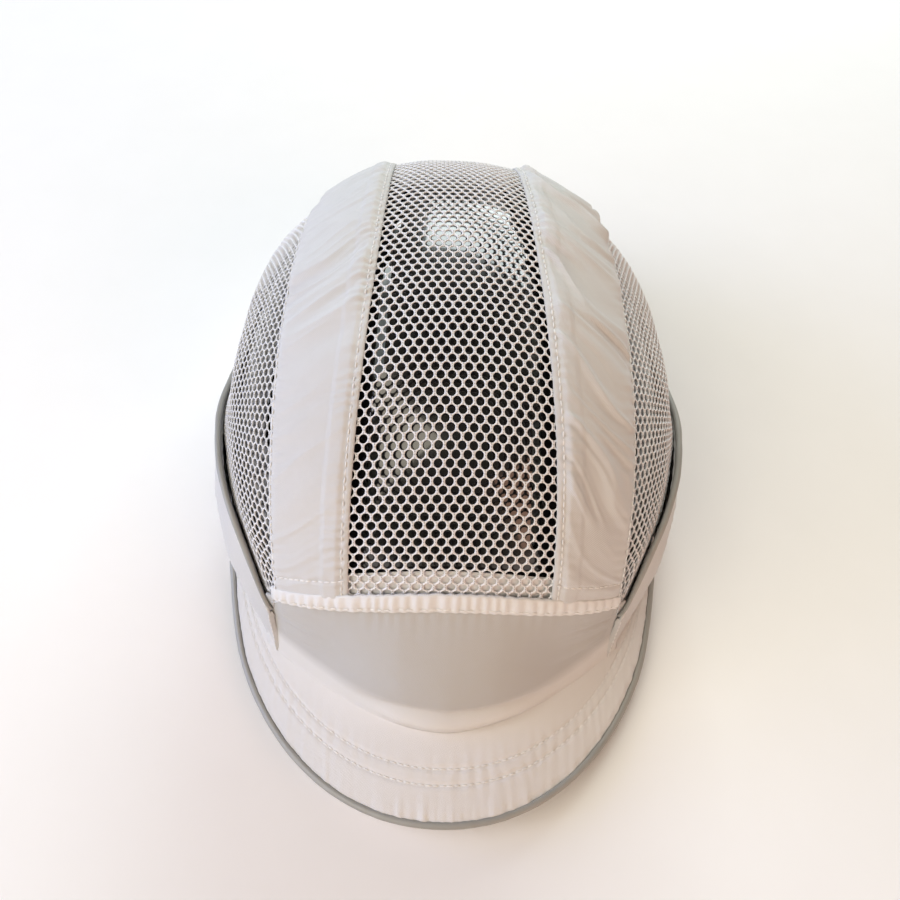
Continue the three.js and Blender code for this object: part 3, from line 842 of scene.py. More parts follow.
# painted shade: the strips, side bands and rear panel take a darker copy of the same white
# twill, its colours fitted to the light that falls on them
shaded_twill = Finish("white twill, shaded copy", (0.66, 0.655, 0.64), 0.66, Sheen_Weight=0.2)


def weave(finish, light, dark, rib):
    """A twill's slanting ribs, its threads and its slubs."""
    uv, u, v = finish.cloth_mm()
    slant = ((u + v * 0.9) * (2 * math.pi / rib)).sine()
    thread = ((u - v * 1.1) * (2 * math.pi / (rib * 0.62))).sine()
    slub = finish.noise(uv, 0.35, 3.0, 0.6)
    shade = finish.noise(finish.place(), 14.0, 3.0)
    tone = slant * 0.10 + thread * 0.05 + shade * 0.7 + slub * 0.25
    finish.set("Base Color", finish.blend(tone, dark, light))
    finish.set("Roughness", 0.60 + 0.16 * slub)
    finish.bump(slant * 0.6 + thread * 0.4 + slub * 0.8, 0.00008, 0.55)


weave(twill, (0.84, 0.835, 0.83), (0.77, 0.765, 0.755), TWILL_RIB)
# the shaded copy's weave colours are darker too: painted shade
weave(shaded_twill, (0.70, 0.70, 0.695), (0.60, 0.595, 0.585), TWILL_RIB)


def folds(s, t, seed, slope=0.45):
    """Soft folds that run across the cloth at a slant, in millimetres of height."""
    long = math.hypot(1, slope)
    a = (s * slope + t) / long + 4 * drift(s / 18, t / 18, seed + 5)
    b = (s - t * slope) / long
    broad = drift(a / 10, b / 42, seed)
    ridge = np.clip(1 - 1.7 * np.abs(drift(a / 6.2, b / 46, seed + 2)), 0, 1)
    fine = np.clip(1 - 2.0 * np.abs(drift(a / 3.4, b / 26, seed + 1)), 0, 1)
    where = ease(0.5 + 0.9 * drift(s / 28, t / 40, seed + 3))
    return 0.8 * broad + (0.7 + 0.8 * where) * ridge**1.2 + 0.4 * fine * (1 - where)


def pucker(distance, t, seed, pitch=6.0, reach=5.0):
    """Gathers that a row of stitches pulls into the cloth beside it."""
    wander = 3 * drift(t / (3 * pitch), 0 * t, seed + 1)
    beat = np.sin(2 * np.pi * t / pitch + wander)
    strength = 0.6 + 0.5 * drift(t / (5 * pitch), 0 * t, seed)
    return 0.4 * beat * strength * np.exp(-np.abs(distance) / reach)


def trench(distance, depth, width=0.7):
    """The groove that a row of stitches pulls."""
    return -depth * np.exp(-((distance / width) ** 2))


u, v = field(62, 390)
guess = mix(front_seam(0.0), 150.0, v)
x0 = mix(strip_inner(guess), strip_outer(guess), u)
angle = mix(front_seam(x0), rear_seam(x0), v)
inner, outer = strip_inner(angle), strip_outer(angle)
x = mix(inner, outer, u)
strip_flat = shaped(over(x, angle))
strip_s, strip_o = x - inner, outer - x
strip_t = v * CENTRE_LENGTH


def strip_height(seed, slope, start, strength):
    """How high a strip stands: edges, rows, and folds that grow from a start."""
    s, o, t = strip_s, strip_o, strip_t
    edge = -0.7 * np.exp(-((s / 0.7) ** 2)) - 0.7 * np.exp(-((o / 0.7) ** 2))
    allowance = 0.45 * ease((s - 2.2) / 1.5) * ease((8.5 - s) / 2.0)
    near, far, back = s - INNER_ROW, o - OUTER_ROW, t - CROSS_ROW
    seam = trench(near, 0.3) + pucker(near, t, seed + 20, 3.6, 3.5)
    outer_seam = trench(far, 0.18) + 0.7 * pucker(far, t, seed + 30, 4.0, 3.0)
    middle = ease(s / 5) * ease(o / 4)
    cross = trench(back, 0.35) + pucker(back, s, seed + 40, 5, 3)
    taper = (0.25 + 0.75 * ease((t - start) / 30)) * ease(t / 9) * strength
    return 0.5 + edge + allowance + seam + outer_seam + cross * ease(s / 3) + (
        folds(s, t, seed, slope) * middle * taper
    )


left_form = strip_flat + outward(strip_flat) * strip_height(11, 1.0, 20, 1.9)[..., None]
right_form = strip_flat + outward(strip_flat) * strip_height(57, 0.6, 75, 1.3)[..., None]
left_strip = net("left_strip_twill", left_form, (27, CENTRE_LENGTH))
right_twin = net("right_strip_source", right_form, (27, CENTRE_LENGTH))
right_strip = mirrored(right_twin, "right_strip_twill")
bpy.data.objects.remove(right_twin)
# the strips take the darker, shaded copy of the twill: painted shade
for piece, node in (
    (left_strip, "left_strip_panel"),
    (right_strip, "right_strip_panel"),
):
    thickened(piece, CLOTH)
    finished(piece, shaded_twill, "cap", "twill", node)

# ------------------------------------------------------------------ topstitching
# White polyester thread in lockstitch, about ten stitches to the inch. Each stitch
# lies in the groove that it pulls into the cloth.
STITCH_PITCH = 2.4
THREAD_R = 0.23
THREAD_PROUD = 0.14

thread = Finish("white sewing thread", (0.88, 0.875, 0.86), 0.5, Sheen_Weight=0.2)
thread_place = thread.place()
ply = thread.noise(thread_place, 2600.0, 2.0)
thread.set("Base Color", thread.blend(ply, (0.78, 0.77, 0.75), (0.90, 0.895, 0.88)))
thread.bump(ply, 0.00005, 0.6)

start_clean()
bpy.ops.mesh.primitive_uv_sphere_add(segments=6, ring_count=4, radius=1)
one_stitch = bpy.context.object
one_stitch.data.transform(Matrix.Rotation(math.pi / 2, 4, "Y"))
STITCH_FORM = np.array([vertex.co for vertex in one_stitch.data.vertices])
STITCH_FACES = [tuple(face.vertices) for face in one_stitch.data.polygons]
bpy.data.objects.remove(one_stitch)


def even_points(points, pitch):
    """Points along a line, evenly spaced at about the pitch."""
    distance = arc_table(points)
    count = max(int(distance[-1] / pitch), 2)
    where = np.linspace(0, distance[-1], count + 1)
    return np.stack([np.interp(where, distance, points[:, k]) for k in range(3)], -1)


def sew(name, lines, slot="twill", body="cap"):
    """Stitches along lines of (points, normals), a copy of one stitch at each step."""
    vertices, faces = [], []
    for points, normals in lines:
        knots = even_points(points, STITCH_PITCH)
        near = np.array(
            [np.argmin(np.sum((points - k) ** 2, -1)) for k in (knots[1:] + knots[:-1]) / 2]
        )
        for a, b, n in zip(knots[:-1], knots[1:], normals[near]):
            ahead = (b - a) / np.linalg.norm(b - a)
            side = np.cross(n, ahead)
            side /= np.linalg.norm(side)
            up = np.cross(ahead, side)
            middle = (a + b) / 2 + up * THREAD_PROUD
            long = np.linalg.norm(b - a) * 0.42
            form = (
                middle
                + STITCH_FORM[:, :1] * long * ahead
                + STITCH_FORM[:, 1:2] * THREAD_R * 1.2 * side
                + STITCH_FORM[:, 2:] * THREAD_R * up
            )
            base = len(vertices) * len(STITCH_FORM)
            vertices.append(form)
            faces += [tuple(i + base for i in face) for face in STITCH_FACES]
    mesh = bpy.data.meshes.new(name)
    mesh.from_pydata(to_metres(np.concatenate(vertices)), [], faces)
    piece = bpy.data.objects.new(name, mesh)
    bpy.context.scene.collection.objects.link(piece)
    return finished(piece, thread, body, slot)


def level_row(form, height, wanted, trim=2):
    """The line over a grid's first axis where height(i, j) reaches the wanted one."""
    normals = outward(form)
    points, ups = [], []
    for i in range(trim, form.shape[0] - trim):
        order = np.argsort(height[i])
        j = np.interp(wanted, height[i][order], order)
        low = min(int(j), form.shape[1] - 2)
        points.append(mix(form[i, low], form[i, low + 1], j - low))
        ups.append(mix(normals[i, low], normals[i, low + 1], j - low))
    return np.array(points), np.array(ups)


def other_side(rows):
    mirror = np.array([-1, 1, 1])
    return [(points * mirror, normals * mirror) for points, normals in rows]


def strip_rows(form):
    """A strip's rows: along both edges, and the short one behind the front seam."""
    lengthwise = form.swapaxes(0, 1)
    cross = np.argmin(np.abs(strip_t[0] - CROSS_ROW))
    return [
        level_row(lengthwise, strip_s.T, INNER_ROW, 0),
        level_row(lengthwise, strip_o.T, OUTER_ROW, 0),
        (form[2:-2, cross], outward(form)[2:-2, cross]),
    ]


sew("left_strip_stitches", strip_rows(left_form))
sew("right_strip_stitches", other_side(strip_rows(right_form)))

# ------------------------------------------------------------------ front seam
# The front panel is sewn to the mesh and strips in a raised fold, topstitched along its
# lower edge. A strip of white facing tape behind the mesh stiffens the seam.
FOLD_TALL = 7.4
FOLD_ROW = 1.9
FOLD_STEPS = 14

u, v = field(220, FOLD_STEPS)
x = mix(-STRIP_OUTER_FRONT - 1.0, STRIP_OUTER_FRONT - 0.2, u)
fold_flat = shaped(over(x, front_seam(x) + 0.45 - 3.8 * (1 - v)))
fold_s = v * FOLD_TALL
gather = 0.5 * np.sin(2.0 * x + 3 * drift(x / 8, 0 * x, 72))
gather += 0.4 * drift(x / 4, fold_s / 12, 70)
swell = np.clip(np.sin(np.pi * np.clip(0.08 + v * 0.84, 0, 1)), 0, 1) ** 0.7
fold_height = (
    0.35
    + 1.0 * swell
    + trench(fold_s - FOLD_ROW, 0.4, 0.6)
    + 0.55 * gather * swell
    - 0.9 * np.exp(-((fold_s / 0.5) ** 2))
) * ease((STRIP_OUTER_FRONT + 2 - np.abs(x)) / 4)
fold_form = fold_flat + outward(fold_flat) * fold_height[..., None]
fold = net("front_seam_twill", fold_form, (112, 8))
thickened(fold, 1.4)
finished(fold, twill, "cap", "twill", "front_seam_fold")
row = round(FOLD_ROW / FOLD_TALL * FOLD_STEPS)
sew("front_seam_stitches", [(fold_form[3:-3, row], outward(fold_form)[3:-3, row])])

u, v = field(80, 10)
x = mix(-30.5, 30.5, u)
facing_flat = shaped(over(x, front_seam(x) + 4.4 * v - 0.5, 1.75))
facing_wave = 0.25 * drift(x / 8, v * 1.5, 81)
facing_form = facing_flat - outward(facing_flat) * facing_wave[..., None]
facing = net("front_seam_tape", facing_form, (61, 8))
thickened(facing, 0.4)
finished(facing, twill, "cap", "twill", "front_seam_facing")

# ------------------------------------------------------------------ front panel
# One piece of the same twill between the seam and the peak. It stands off the shell in
# a soft bulge, and its foot is sewn down on the peak.
PANEL_DROP = 62.0
PANEL_LAP = 0.035  # how far it runs on under each side band, as a share

u, v = field(150, 70)
front_flat = panel_point(mix(-PANEL_LAP, 1 + PANEL_LAP, u), v)
x = front_flat[..., 0]
drop = v * PANEL_DROP
side_pull = ease((np.abs(x) - 34) / 16) * (0.45 + 0.55 * (x > 0))
fan = np.clip(1 - 1.6 * np.abs(drift(drop / 5.5 + np.abs(x) / 26, x / 30, 90)), 0, 1)
fan = 1.3 * fan * side_pull * ease(drop / 6) * ease((44 - drop) / 16)
dents = 0.9 * drift(x / 42, drop / 26, 91) * ease(drop / 14) * ease((PANEL_DROP - drop) / 12)
middle = ease((44 - np.abs(x - 6)) / 30)
# the crease where the bulge meets the peak, and the roll of cloth in front of it
roll = 1.5 * np.exp(-(((drop - 56) / 3.4) ** 2)) * middle
roll += trench(drop - 49.5, 1.3, 2.6) * middle
seam_gather = 0.8 * pucker(drop, x, 93, 4.0, 5.0)
crinkle = 0.12 * drift(x / 5, drop / 7, 94) + 0.3 * drift(x / 16, drop / 9, 95) * side_pull
panel_height = (fan + dents + roll + seam_gather + crinkle) * ease((58 - np.abs(x)) / 3)
panel_height *= ease((PANEL_DROP - drop) / 3)
front_form = front_flat + outward(front_flat) * panel_height[..., None]
front_panel = net("front_panel_twill", front_form, (120, 62))
# painted shade: the panel is the same white twill, coloured darker over its bulge, which faces
# away from the light, and lighter where its foot lies on the peak
panel_shaded_twill = Finish("front panel twill, painted shade", (0.66, 0.655, 0.64), 0.66, Sheen_Weight=0.2)
_, panel_shade_u, panel_shade_v = panel_shaded_twill.cloth_mm()
reach = (panel_shade_u / 60 - 1) * (panel_shade_u / 60 - 1) * 14 + panel_shade_v
lit_foot = reach.above(50.0, 10.0)
weave(panel_shaded_twill, (0.70, 0.70, 0.695), (0.60, 0.595, 0.585), TWILL_RIB)
# the mask is 0 over the panel's upper part (painted shade, 0.52) and 1 at its foot on the peak
# (0.75)
panel_shaded_twill.set(
    "Base Color", panel_shaded_twill.blend(lit_foot, (0.52, 0.515, 0.50), (0.75, 0.745, 0.73))
)
thickened(front_panel, CLOTH)
finished(front_panel, panel_shaded_twill, "cap", "twill", "front_panel")

# ------------------------------------------------------------------ side bands
# A deep band of white twill round each side, from the piping down to the rim. It is
# hemmed at the rim, and its front edge is sewn in under the front panel.
RIM_LIFT = 17.0
RIM_LEVEL = 64.0
RIM_TAPE = 3.0
PEAK_ROOT = 51.0
HEM_ROW = 3.5
TOP_ROW = 2.0


def rim_z(degrees):
    """The rim's height, which arches up over the brow."""
    return RIM_LIFT * ease((RIM_LEVEL - np.abs(degrees)) / RIM_LEVEL)


def band_foot(degrees):
    """The height of the band's foot: on the rim, and behind the peak's root."""
    on_rim = rim_z(degrees) + RIM_TAPE + 0.2
    p = shaped(around(degrees, 18.0))
    share = ease((PEAK_ROOT + 7 - degrees) / 7)
    return mix(on_rim, peak_z(p[..., 0], p[..., 1]) - 2.2, share)


u, v = field(200, 56)
azimuth = mix(V_FRONT, RIM_END, u)
z = mix(band_foot(azimuth), piping_z(azimuth) + 0.3, v)
on_dome = shaped(around(azimuth, z))
band_flat = pulled_in(on_dome + forward(azimuth, v, on_dome), azimuth, v)
band_run = (azimuth - V_FRONT) * 1.75
band_up = z - band_foot(azimuth)
band_down = piping_z(azimuth) - z
loose = ease(band_up / 10) * ease(band_down / 22) * ease((azimuth - V_FRONT) / 8)
band_height = (
    0.25
    + 0.4 * folds(band_up * 1.2, band_run, 120) * loose
    + trench(band_up - HEM_ROW, 0.3)
    + pucker(band_up - HEM_ROW, band_run, 121, 5.0, 4.0)
    + trench(band_down - TOP_ROW, 0.25)
    + pucker(band_down - TOP_ROW, band_run, 124, 6.0, 5.0)
    + trench(band_run, 1.5, 2.4)  # the front edge dips under the front panel
)
band_form = band_flat + outward(band_flat) * band_height[..., None]
left_band = net("left_side_twill", band_form, (212, 70))
thickened(left_band, CLOTH)
right_band = mirrored(left_band, "right_side_twill")
# the bands take the darker, shaded copy of the twill: painted shade
for piece, node in ((left_band, "left_side_band"), (right_band, "right_side_band")):
    finished(piece, shaded_twill, "cap", "twill", node)


band_rows = [
    level_row(band_form, band_up, HEM_ROW),
    level_row(band_form, band_down, TOP_ROW),
    (band_form[4, 3:-3], outward(band_form)[4, 3:-3]),
]
sew("left_band_stitches", band_rows)
sew("right_band_stitches", other_side(band_rows))

# ------------------------------------------------------------------ piping and binding
# Grey retro-reflective tape: round a cord between side mesh and band, folded over the
# edge of the peak, and round the arch at the back.
CORD_WIDE = 2.3
CORD_TALL = 2.7

tape = Finish("grey reflective tape", (0.35, 0.35, 0.33), 0.5, Metallic=0.1)
tape_place = tape.place()
beads = tape.node("TexVoronoi", {}, {"Vector": tape_place, "Scale": 5200.0}, "Distance")
wear = tape.noise(tape_place, 70.0, 4.0)
tape.set("Base Color", tape.blend(wear, (0.31, 0.31, 0.29), (0.39, 0.39, 0.37)))
tape.set("Roughness", 0.34 + 0.2 * wear)
tape.bump(beads, 0.00006, 0.5)


def rounded_profile(wide, tall, corner, steps=4):
    """An oblong with round corners, as (out, side) points."""
    points = []
    for quarter in range(4):
        for step in range(steps + 1):
            angle = math.pi / 2 * (quarter + step / steps)
            cx = (wide / 2 - corner) * (1 if quarter in (0, 3) else -1)
            cy = (tall / 2 - corner) * (1 if quarter in (0, 1) else -1)
            points.append(
                (cx + corner * math.cos(angle), cy + corner * math.sin(angle))
            )
    return np.array(points)


def tube(name, centres, outs, profile, swell=None):
    """A closed bar with a profile of (out, side) points, along a line of centres."""
    ahead = np.gradient(centres, axis=0)
    ahead /= np.linalg.norm(ahead, axis=-1, keepdims=True)
    outs = outs - ahead * np.sum(outs * ahead, -1, keepdims=True)
    outs /= np.linalg.norm(outs, axis=-1, keepdims=True)
    sides = np.cross(ahead, outs)
    ring = np.concatenate([profile, profile[:1]])
    grown = np.ones(len(centres)) if swell is None else swell
    points = (
        centres[:, None]
        + ring[None, :, :1] * outs[:, None] * grown[:, None, None]
        + ring[None, :, 1:] * sides[:, None] * grown[:, None, None]
    )
    length = arc_table(centres)[-1]
    around_it = arc_table(np.pad(ring, ((0, 0), (0, 1))))[-1]
    piece = net(name, points, (length, around_it))
    mesh = bmesh.new()
    mesh.from_mesh(piece.data)
    bmesh.ops.remove_doubles(mesh, verts=mesh.verts, dist=1e-6)
    ends = [edge for edge in mesh.edges if edge.is_boundary]
    bmesh.ops.holes_fill(mesh, edges=ends, sides=0)
    bmesh.ops.recalc_face_normals(mesh, faces=mesh.faces)
    mesh.to_mesh(piece.data)
    mesh.free()
    return piece


s = np.linspace(0, 1, 161)
azimuth = mix(V_FRONT + 1.5, RIM_END - 1, s)
z = piping_z(azimuth)
base = shaped(around(azimuth, z))
shift = forward(azimuth, 1.0, base)
proud = -0.2 - 0.9 * ease((azimuth - 44) / 14) * ease((84 - azimuth) / 14)
proud += 1.8 * np.exp(-(((azimuth - V_FRONT) / 3.0) ** 2))
cord_z = z + PIPING_R + 0.4
cord_line = shaped(around(azimuth, cord_z, proud)) + shift
cord_out = cord_line - (shaped(around(azimuth, cord_z, 4.0)) + shift)
cord_line = pulled_in(cord_line, azimuth, np.ones_like(azimuth))
beat = 1 + 0.05 * drift(arc_table(cord_line) / 5, 0 * s, 140)
beat *= mix(0.45, 1, ease((azimuth - V_FRONT) / 14))
cord_round = rounded_profile(CORD_WIDE, CORD_TALL, 1.1)
left_cord = tube("left_piping_tape", cord_line, cord_out, cord_round, beat)
right_cord = mirrored(left_cord, "right_piping_tape")
finished(left_cord, tape, "cap", "reflective_tape", "left_piping")
finished(right_cord, tape, "cap", "reflective_tape", "right_piping")

# ------------------------------------------------------------------ rear panel
# The back of the crown is a twill panel with an arch cut out of it for the adjuster.
# It is topstitched along the arch and along its seams with the strips and bands.
ARCH_HALF = 42.0
ARCH_HEIGHT = 46.0
UNDER_SEAM = 3.4  # the seam allowance that runs up under the mesh and strips
ARCH_ROW = 3.5
SEAM_ROW = 1.8


def arch_edge(u, grow):
    """The arch's x and z at a share of its length, drawn larger by grow."""
    x = (ARCH_HALF + grow) * np.cos(np.pi * u)
    return x, 0.8 + (ARCH_HEIGHT + grow) * np.sin(np.pi * u)


def rear_outline(u):
    """The x and z of the rear panel's outer edge: two legs and the seam over them."""
    legs = 0.27
    side = np.where(u < 0.5, 1.0, -1.0)
    share = np.minimum(u, 1 - u) / legs
    z = mix(0.8, 49.0 + UNDER_SEAM, np.minimum(share, 1))
    leg_x = around(RIM_END, z)[..., 0] - 0.3
    x = mix(leg_x, -leg_x, (u - legs) / (1 - 2 * legs))
    on_leg = share < 1
    top = rear_seam_z(x) + 0.2 + UNDER_SEAM
    return np.where(on_leg, side * leg_x, x), np.where(on_leg, z, top)


u, v = field(160, 26)
x0, z0 = arch_edge(u, -0.4)
x1, z1 = rear_outline(u)
rear_x, rear_z = mix(x0, x1, v), mix(z0, z1, v)
rear_flat = shaped(behind(rear_x, rear_z))
rear_run = u * 190
rear_gap = np.hypot(x1 - x0, z1 - z0)
from_arch = v * rear_gap
from_seam = (1 - v) * rear_gap - UNDER_SEAM * ease((z1 - 48) / 4)
rear_height = (
    0.3
    + trench(from_arch - ARCH_ROW, 0.25)
    + pucker(from_arch - ARCH_ROW, rear_run, 150, 6, 4)
    + trench(from_seam - SEAM_ROW, 0.25)
    + pucker(from_seam - SEAM_ROW, rear_run, 152, 6, 4)
)
rear_height -= 1.4 * ease((rear_z - rear_seam_z(rear_x)) / 1.2)
rear_form = rear_flat + outward(rear_flat) * rear_height[..., None]
rear_panel = net("rear_panel_twill", rear_form, (190, 16))
thickened(rear_panel, CLOTH)
# the rear panel takes the darker, shaded copy of the twill: painted shade
finished(rear_panel, shaded_twill, "cap", "twill", "rear_panel")
rear_rows = [
    level_row(rear_form, from_arch, ARCH_ROW),
    level_row(rear_form, from_seam, SEAM_ROW),
]
sew("rear_stitches", rear_rows)

s = np.linspace(0, 1, 121)
x, z = arch_edge(mix(0.015, 0.985, s), -1.0)
arch_line = shaped(behind(x, z, 0.5))
arch_out = np.tile(np.array([0, 1.0, 0]), (len(s), 1))
beat = 1 + 0.06 * drift(s * 40, 0 * s, 155)
arch_tape = tube(
    "arch_binding_tape", arch_line, arch_out, rounded_profile(2.8, 2.8, 0.9), beat
)
finished(arch_tape, tape, "cap", "reflective_tape", "arch_binding")

# ------------------------------------------------------------------ rim and sweatband
# The rim is bound with folded twill tape. Inside it a towelling sweatband runs round
# the head, with a softer pad sewn to it at the brow and a blank white label.
SWEATBAND_THICK = 2.0
LABEL_THICK = 0.4
HEAD_DEGREE = 1.8  # length of one degree round the head

s = np.linspace(0, 1, 221)
azimuth = mix(-RIM_END, RIM_END, s)
tape_z = rim_z(azimuth) + RIM_TAPE / 2
rim_line = shaped(around(azimuth, tape_z, 3.5))
rim_out = rim_line - shaped(around(azimuth, tape_z, 6.0))
rim = tube("rim_twill_tape", rim_line, rim_out, rounded_profile(7.0, 3.0, 1.1))
finished(rim, twill, "cap", "twill", "rim_tape")

towel = Finish("off-white towelling", (0.78, 0.76, 0.71), 0.92, Sheen_Weight=0.35)
towel_place = towel.place()
loops = towel.node("TexVoronoi", {}, {"Vector": towel_place, "Scale": 1100.0}, "Distance")
nap = towel.noise(towel_place, 240.0, 3.0)
towel.set("Base Color", towel.blend(nap + loops * 0.4, (0.68, 0.66, 0.61), (0.84, 0.82, 0.77)))
towel.bump(loops * 0.7 + nap * 0.5, 0.00035, 0.9)


def layer(name, node, finish, slot, span, low, high, depth, thick, grid, corner=0):
    """A padded or woven strip inside the rim, over a span of azimuths."""
    u, v = field(*grid)
    long = (span[1] - span[0]) * HEAD_DEGREE
    if corner:
        u, v = rounded(u, v, long, high - low, corner)
    azimuth = mix(span[0], span[1], u)
    z = rim_z(azimuth) + mix(low, high, v)
    form = shaped(around(azimuth, z, depth))
    across = form + outward(form) * 0.18 * drift(azimuth * 0.3, z / 9, 160)[..., None]
    piece = net(name, across, (long, high - low))
    thickened(piece, thick)
    if thick > 1:
        rounded_edges(piece, thick * 0.42, 3, 60)
    finished(piece, finish, "cap", slot, node)
    return piece, form


sweat, sweat_form = layer(
    "sweatband_towelling",
    "sweatband",
    towel,
    "towelling",
    span=(-144, 144),
    low=RIM_TAPE + 0.4,
    high=RIM_TAPE + 30,
    depth=7.3,
    thick=SWEATBAND_THICK,
    grid=(180, 12),
)
brow, _ = layer(
    "brow_towelling",
    "brow_pad",
    towel,
    "towelling",
    span=(-38, 38),
    low=6,
    high=28,
    depth=10.0,
    thick=2.4,
    grid=(90, 22),
    corner=8,
)

satin = Finish("white label satin", (0.86, 0.86, 0.85), 0.4, Sheen_Weight=0.3)
_, satin_u, satin_v = satin.cloth_mm()
warp = (satin_u * 22.0).sine() * (satin_v * 9.0).sine()
satin.set("Base Color", satin.blend(warp * 0.5 + 0.5, (0.80, 0.80, 0.79), (0.88, 0.88, 0.87)))
satin.bump(warp, 0.00003, 0.5)
label, label_form = layer(
    "care_label_satin",
    "care_label",
    satin,
    "twill",
    span=(112, 126),
    low=8,
    high=28,
    depth=10.1,
    thick=LABEL_THICK,
    grid=(20, 16),
)


def inside_row(form, row, trim, thick):
    """A row of stitches on the side of a layer that faces the head."""
    inwards = -outward(form)[trim:-trim, row]
    return form[trim:-trim, row] + inwards * (thick + 0.05), inwards


sew("sweatband_stitches", [inside_row(sweat_form, 2, 2, SWEATBAND_THICK)])
sew("label_stitches", [inside_row(label_form, 15, 1, LABEL_THICK)])

# ------------------------------------------------------------------ peak
# A thin plastic board between a twill top and a twill lining, topstitched in two curved
# rows, with its edge bound in the grey tape.
PEAK_HALF_WIDTH = 89.4
PEAK_REACH = 129.6
PEAK_CENTRE_Y = -32.2
PEAK_SQUARENESS = 2 / 2.076
PEAK_END = 75.0
BOARD_TOP = 1.0
LINING_TOP = 2.9
PEAK_THICK = 3.6
UNDER_PEAK = (0, -100, -300.0)


def peak_point(u, v, inset, drop):
    turn = mix(-PEAK_END, PEAK_END, u)
    foot = shaped(around(turn * PEAK_ROOT / PEAK_END, 18.0, 1.2))
    sine, cosine = np.sin(np.radians(turn)), np.cos(np.radians(turn))
    sine = np.sign(sine) * np.abs(sine) ** PEAK_SQUARENESS
    cosine = cosine**PEAK_SQUARENESS
    half = (PEAK_HALF_WIDTH - inset) * (1 - 0.022 * ease((np.abs(turn) - 52) / 20))
    x = mix(foot[..., 0], half * sine, v)
    y = mix(foot[..., 1], PEAK_CENTRE_Y - (PEAK_REACH - inset) * cosine, v)
    return np.stack(np.broadcast_arrays(x, y, peak_z(x, y) - drop), -1)


u, v = field(260, 70)
top_flat = peak_point(u, v, 1.6, 0.0)
edge_line = peak_point(u[:, 0], np.ones_like(u[:, 0]), 0.0, 0.0)
peak_run = arc_table(edge_line)[:, None] + 0 * v
to_edge = (1 - v) * np.linalg.norm(top_flat[:, -1] - top_flat[:, 0], axis=-1)[:, None] + 2.2
top_height = (
    0.55 * pucker(to_edge - 3.0, peak_run, 170, 3.2, 3.5)
    + 0.25 * drift(peak_run / 2.6, 0 * v, 173) * np.exp(-np.maximum(to_edge - 3, 0) / 4)
    + trench(to_edge - 13, 0.45)
    + 0.5 * pucker(to_edge - 13, peak_run, 174, 5, 3)
    + trench(to_edge - 18, 0.45)
    + 0.5 * pucker(to_edge - 18, peak_run, 176, 5, 3)
    + 0.35 * drift(peak_run / 26, to_edge / 15, 178)
    + 0.3 * ease((to_edge - 2.2) / 3)
)
top_form = top_flat + outward(top_flat, UNDER_PEAK) * top_height[..., None]
peak_top = net("peak_twill", top_form, (260, 60), UNDER_PEAK)
modified(peak_top, "SOLIDIFY", thickness=0.0007, offset=-1)
finished(peak_top, twill, "cap", "twill", "peak_top_fabric")
up = outward(top_form, UNDER_PEAK)
peak_rows = []
for wanted in (13.0, 18.0):
    points, ups = [], []
    for i in range(6, 255):
        if to_edge[i, 0] < wanted + 3:
            continue
        j = np.interp(-wanted, -to_edge[i], np.arange(71))
        low = int(j)
        points.append(mix(top_form[i, low], top_form[i, low + 1], j - low))
        ups.append(up[i, low])
    peak_rows.append((np.array(points), np.array(ups)))
sew("peak_stitches", peak_rows)

polyethylene = Finish("white polyethylene", (0.78, 0.78, 0.76), 0.45)
grain = polyethylene.noise(polyethylene.place(), 500.0, 2.0)
polyethylene.set("Base Color", polyethylene.blend(grain, (0.75, 0.75, 0.73), (0.81, 0.81, 0.79)))
polyethylene.bump(grain, 0.00005, 0.4)
u, v = field(120, 20)
board = net("peak_stiffener", peak_point(u, v, 2.9, BOARD_TOP), (260, 60), UNDER_PEAK)
modified(board, "SOLIDIFY", thickness=0.0016, offset=-1)
finished(board, polyethylene, "cap", "board", "peak_board")

u, v = field(200, 40)
lining_flat = peak_point(u, v, 2.4, LINING_TOP)
wave = 0.12 * drift(u * 60, v * 4, 180)
lining_form = lining_flat + np.stack([0 * u, 0 * u, wave], -1)
lining = net("peak_lining_twill", lining_form, (260, 60), UNDER_PEAK)
modified(lining, "SOLIDIFY", thickness=0.0007, offset=-1)
finished(lining, twill, "cap", "twill", "peak_lining")

s = np.linspace(0, 1, 241)
edge = peak_point(s, np.ones_like(s), 1.0, PEAK_THICK / 2)
edge_out = edge - peak_point(s, np.ones_like(s), 6.0, PEAK_THICK / 2)
beat = 1 + 0.035 * drift(arc_table(edge) / 3.0, 0 * s, 185)
edging = tube(
    "peak_edge_tape", edge, edge_out, rounded_profile(2.3, PEAK_THICK + 1.1, 0.9), beat
)
finished(edging, tape, "cap", "reflective_tape", "peak_binding")

# ------------------------------------------------------------------ rear adjuster
# A twill strap crosses the arch and passes through a moulded cam buckle: the lever
# turns on a steel pin and pinches the strap. The buckle hangs in a loop of webbing.
STRAP_RADIUS = 87.0
STRAP_Y = 23.0
STRAP_LOW = 8.0
STRAP_HIGH = 25.0
STRAP_MIDDLE = (0, 60.0, 16.5)
PIN_S = -6.0
PIN_T = 2.7
BAR_S = -27.5
BAR_T = -1.8


def on_strap(s, t, z):
    angle = np.asarray(s) / STRAP_RADIUS
    r = STRAP_RADIUS + np.asarray(t)
    y = STRAP_Y + r * np.cos(angle)
    return np.stack(np.broadcast_arrays(r * np.sin(angle), y, z), -1)


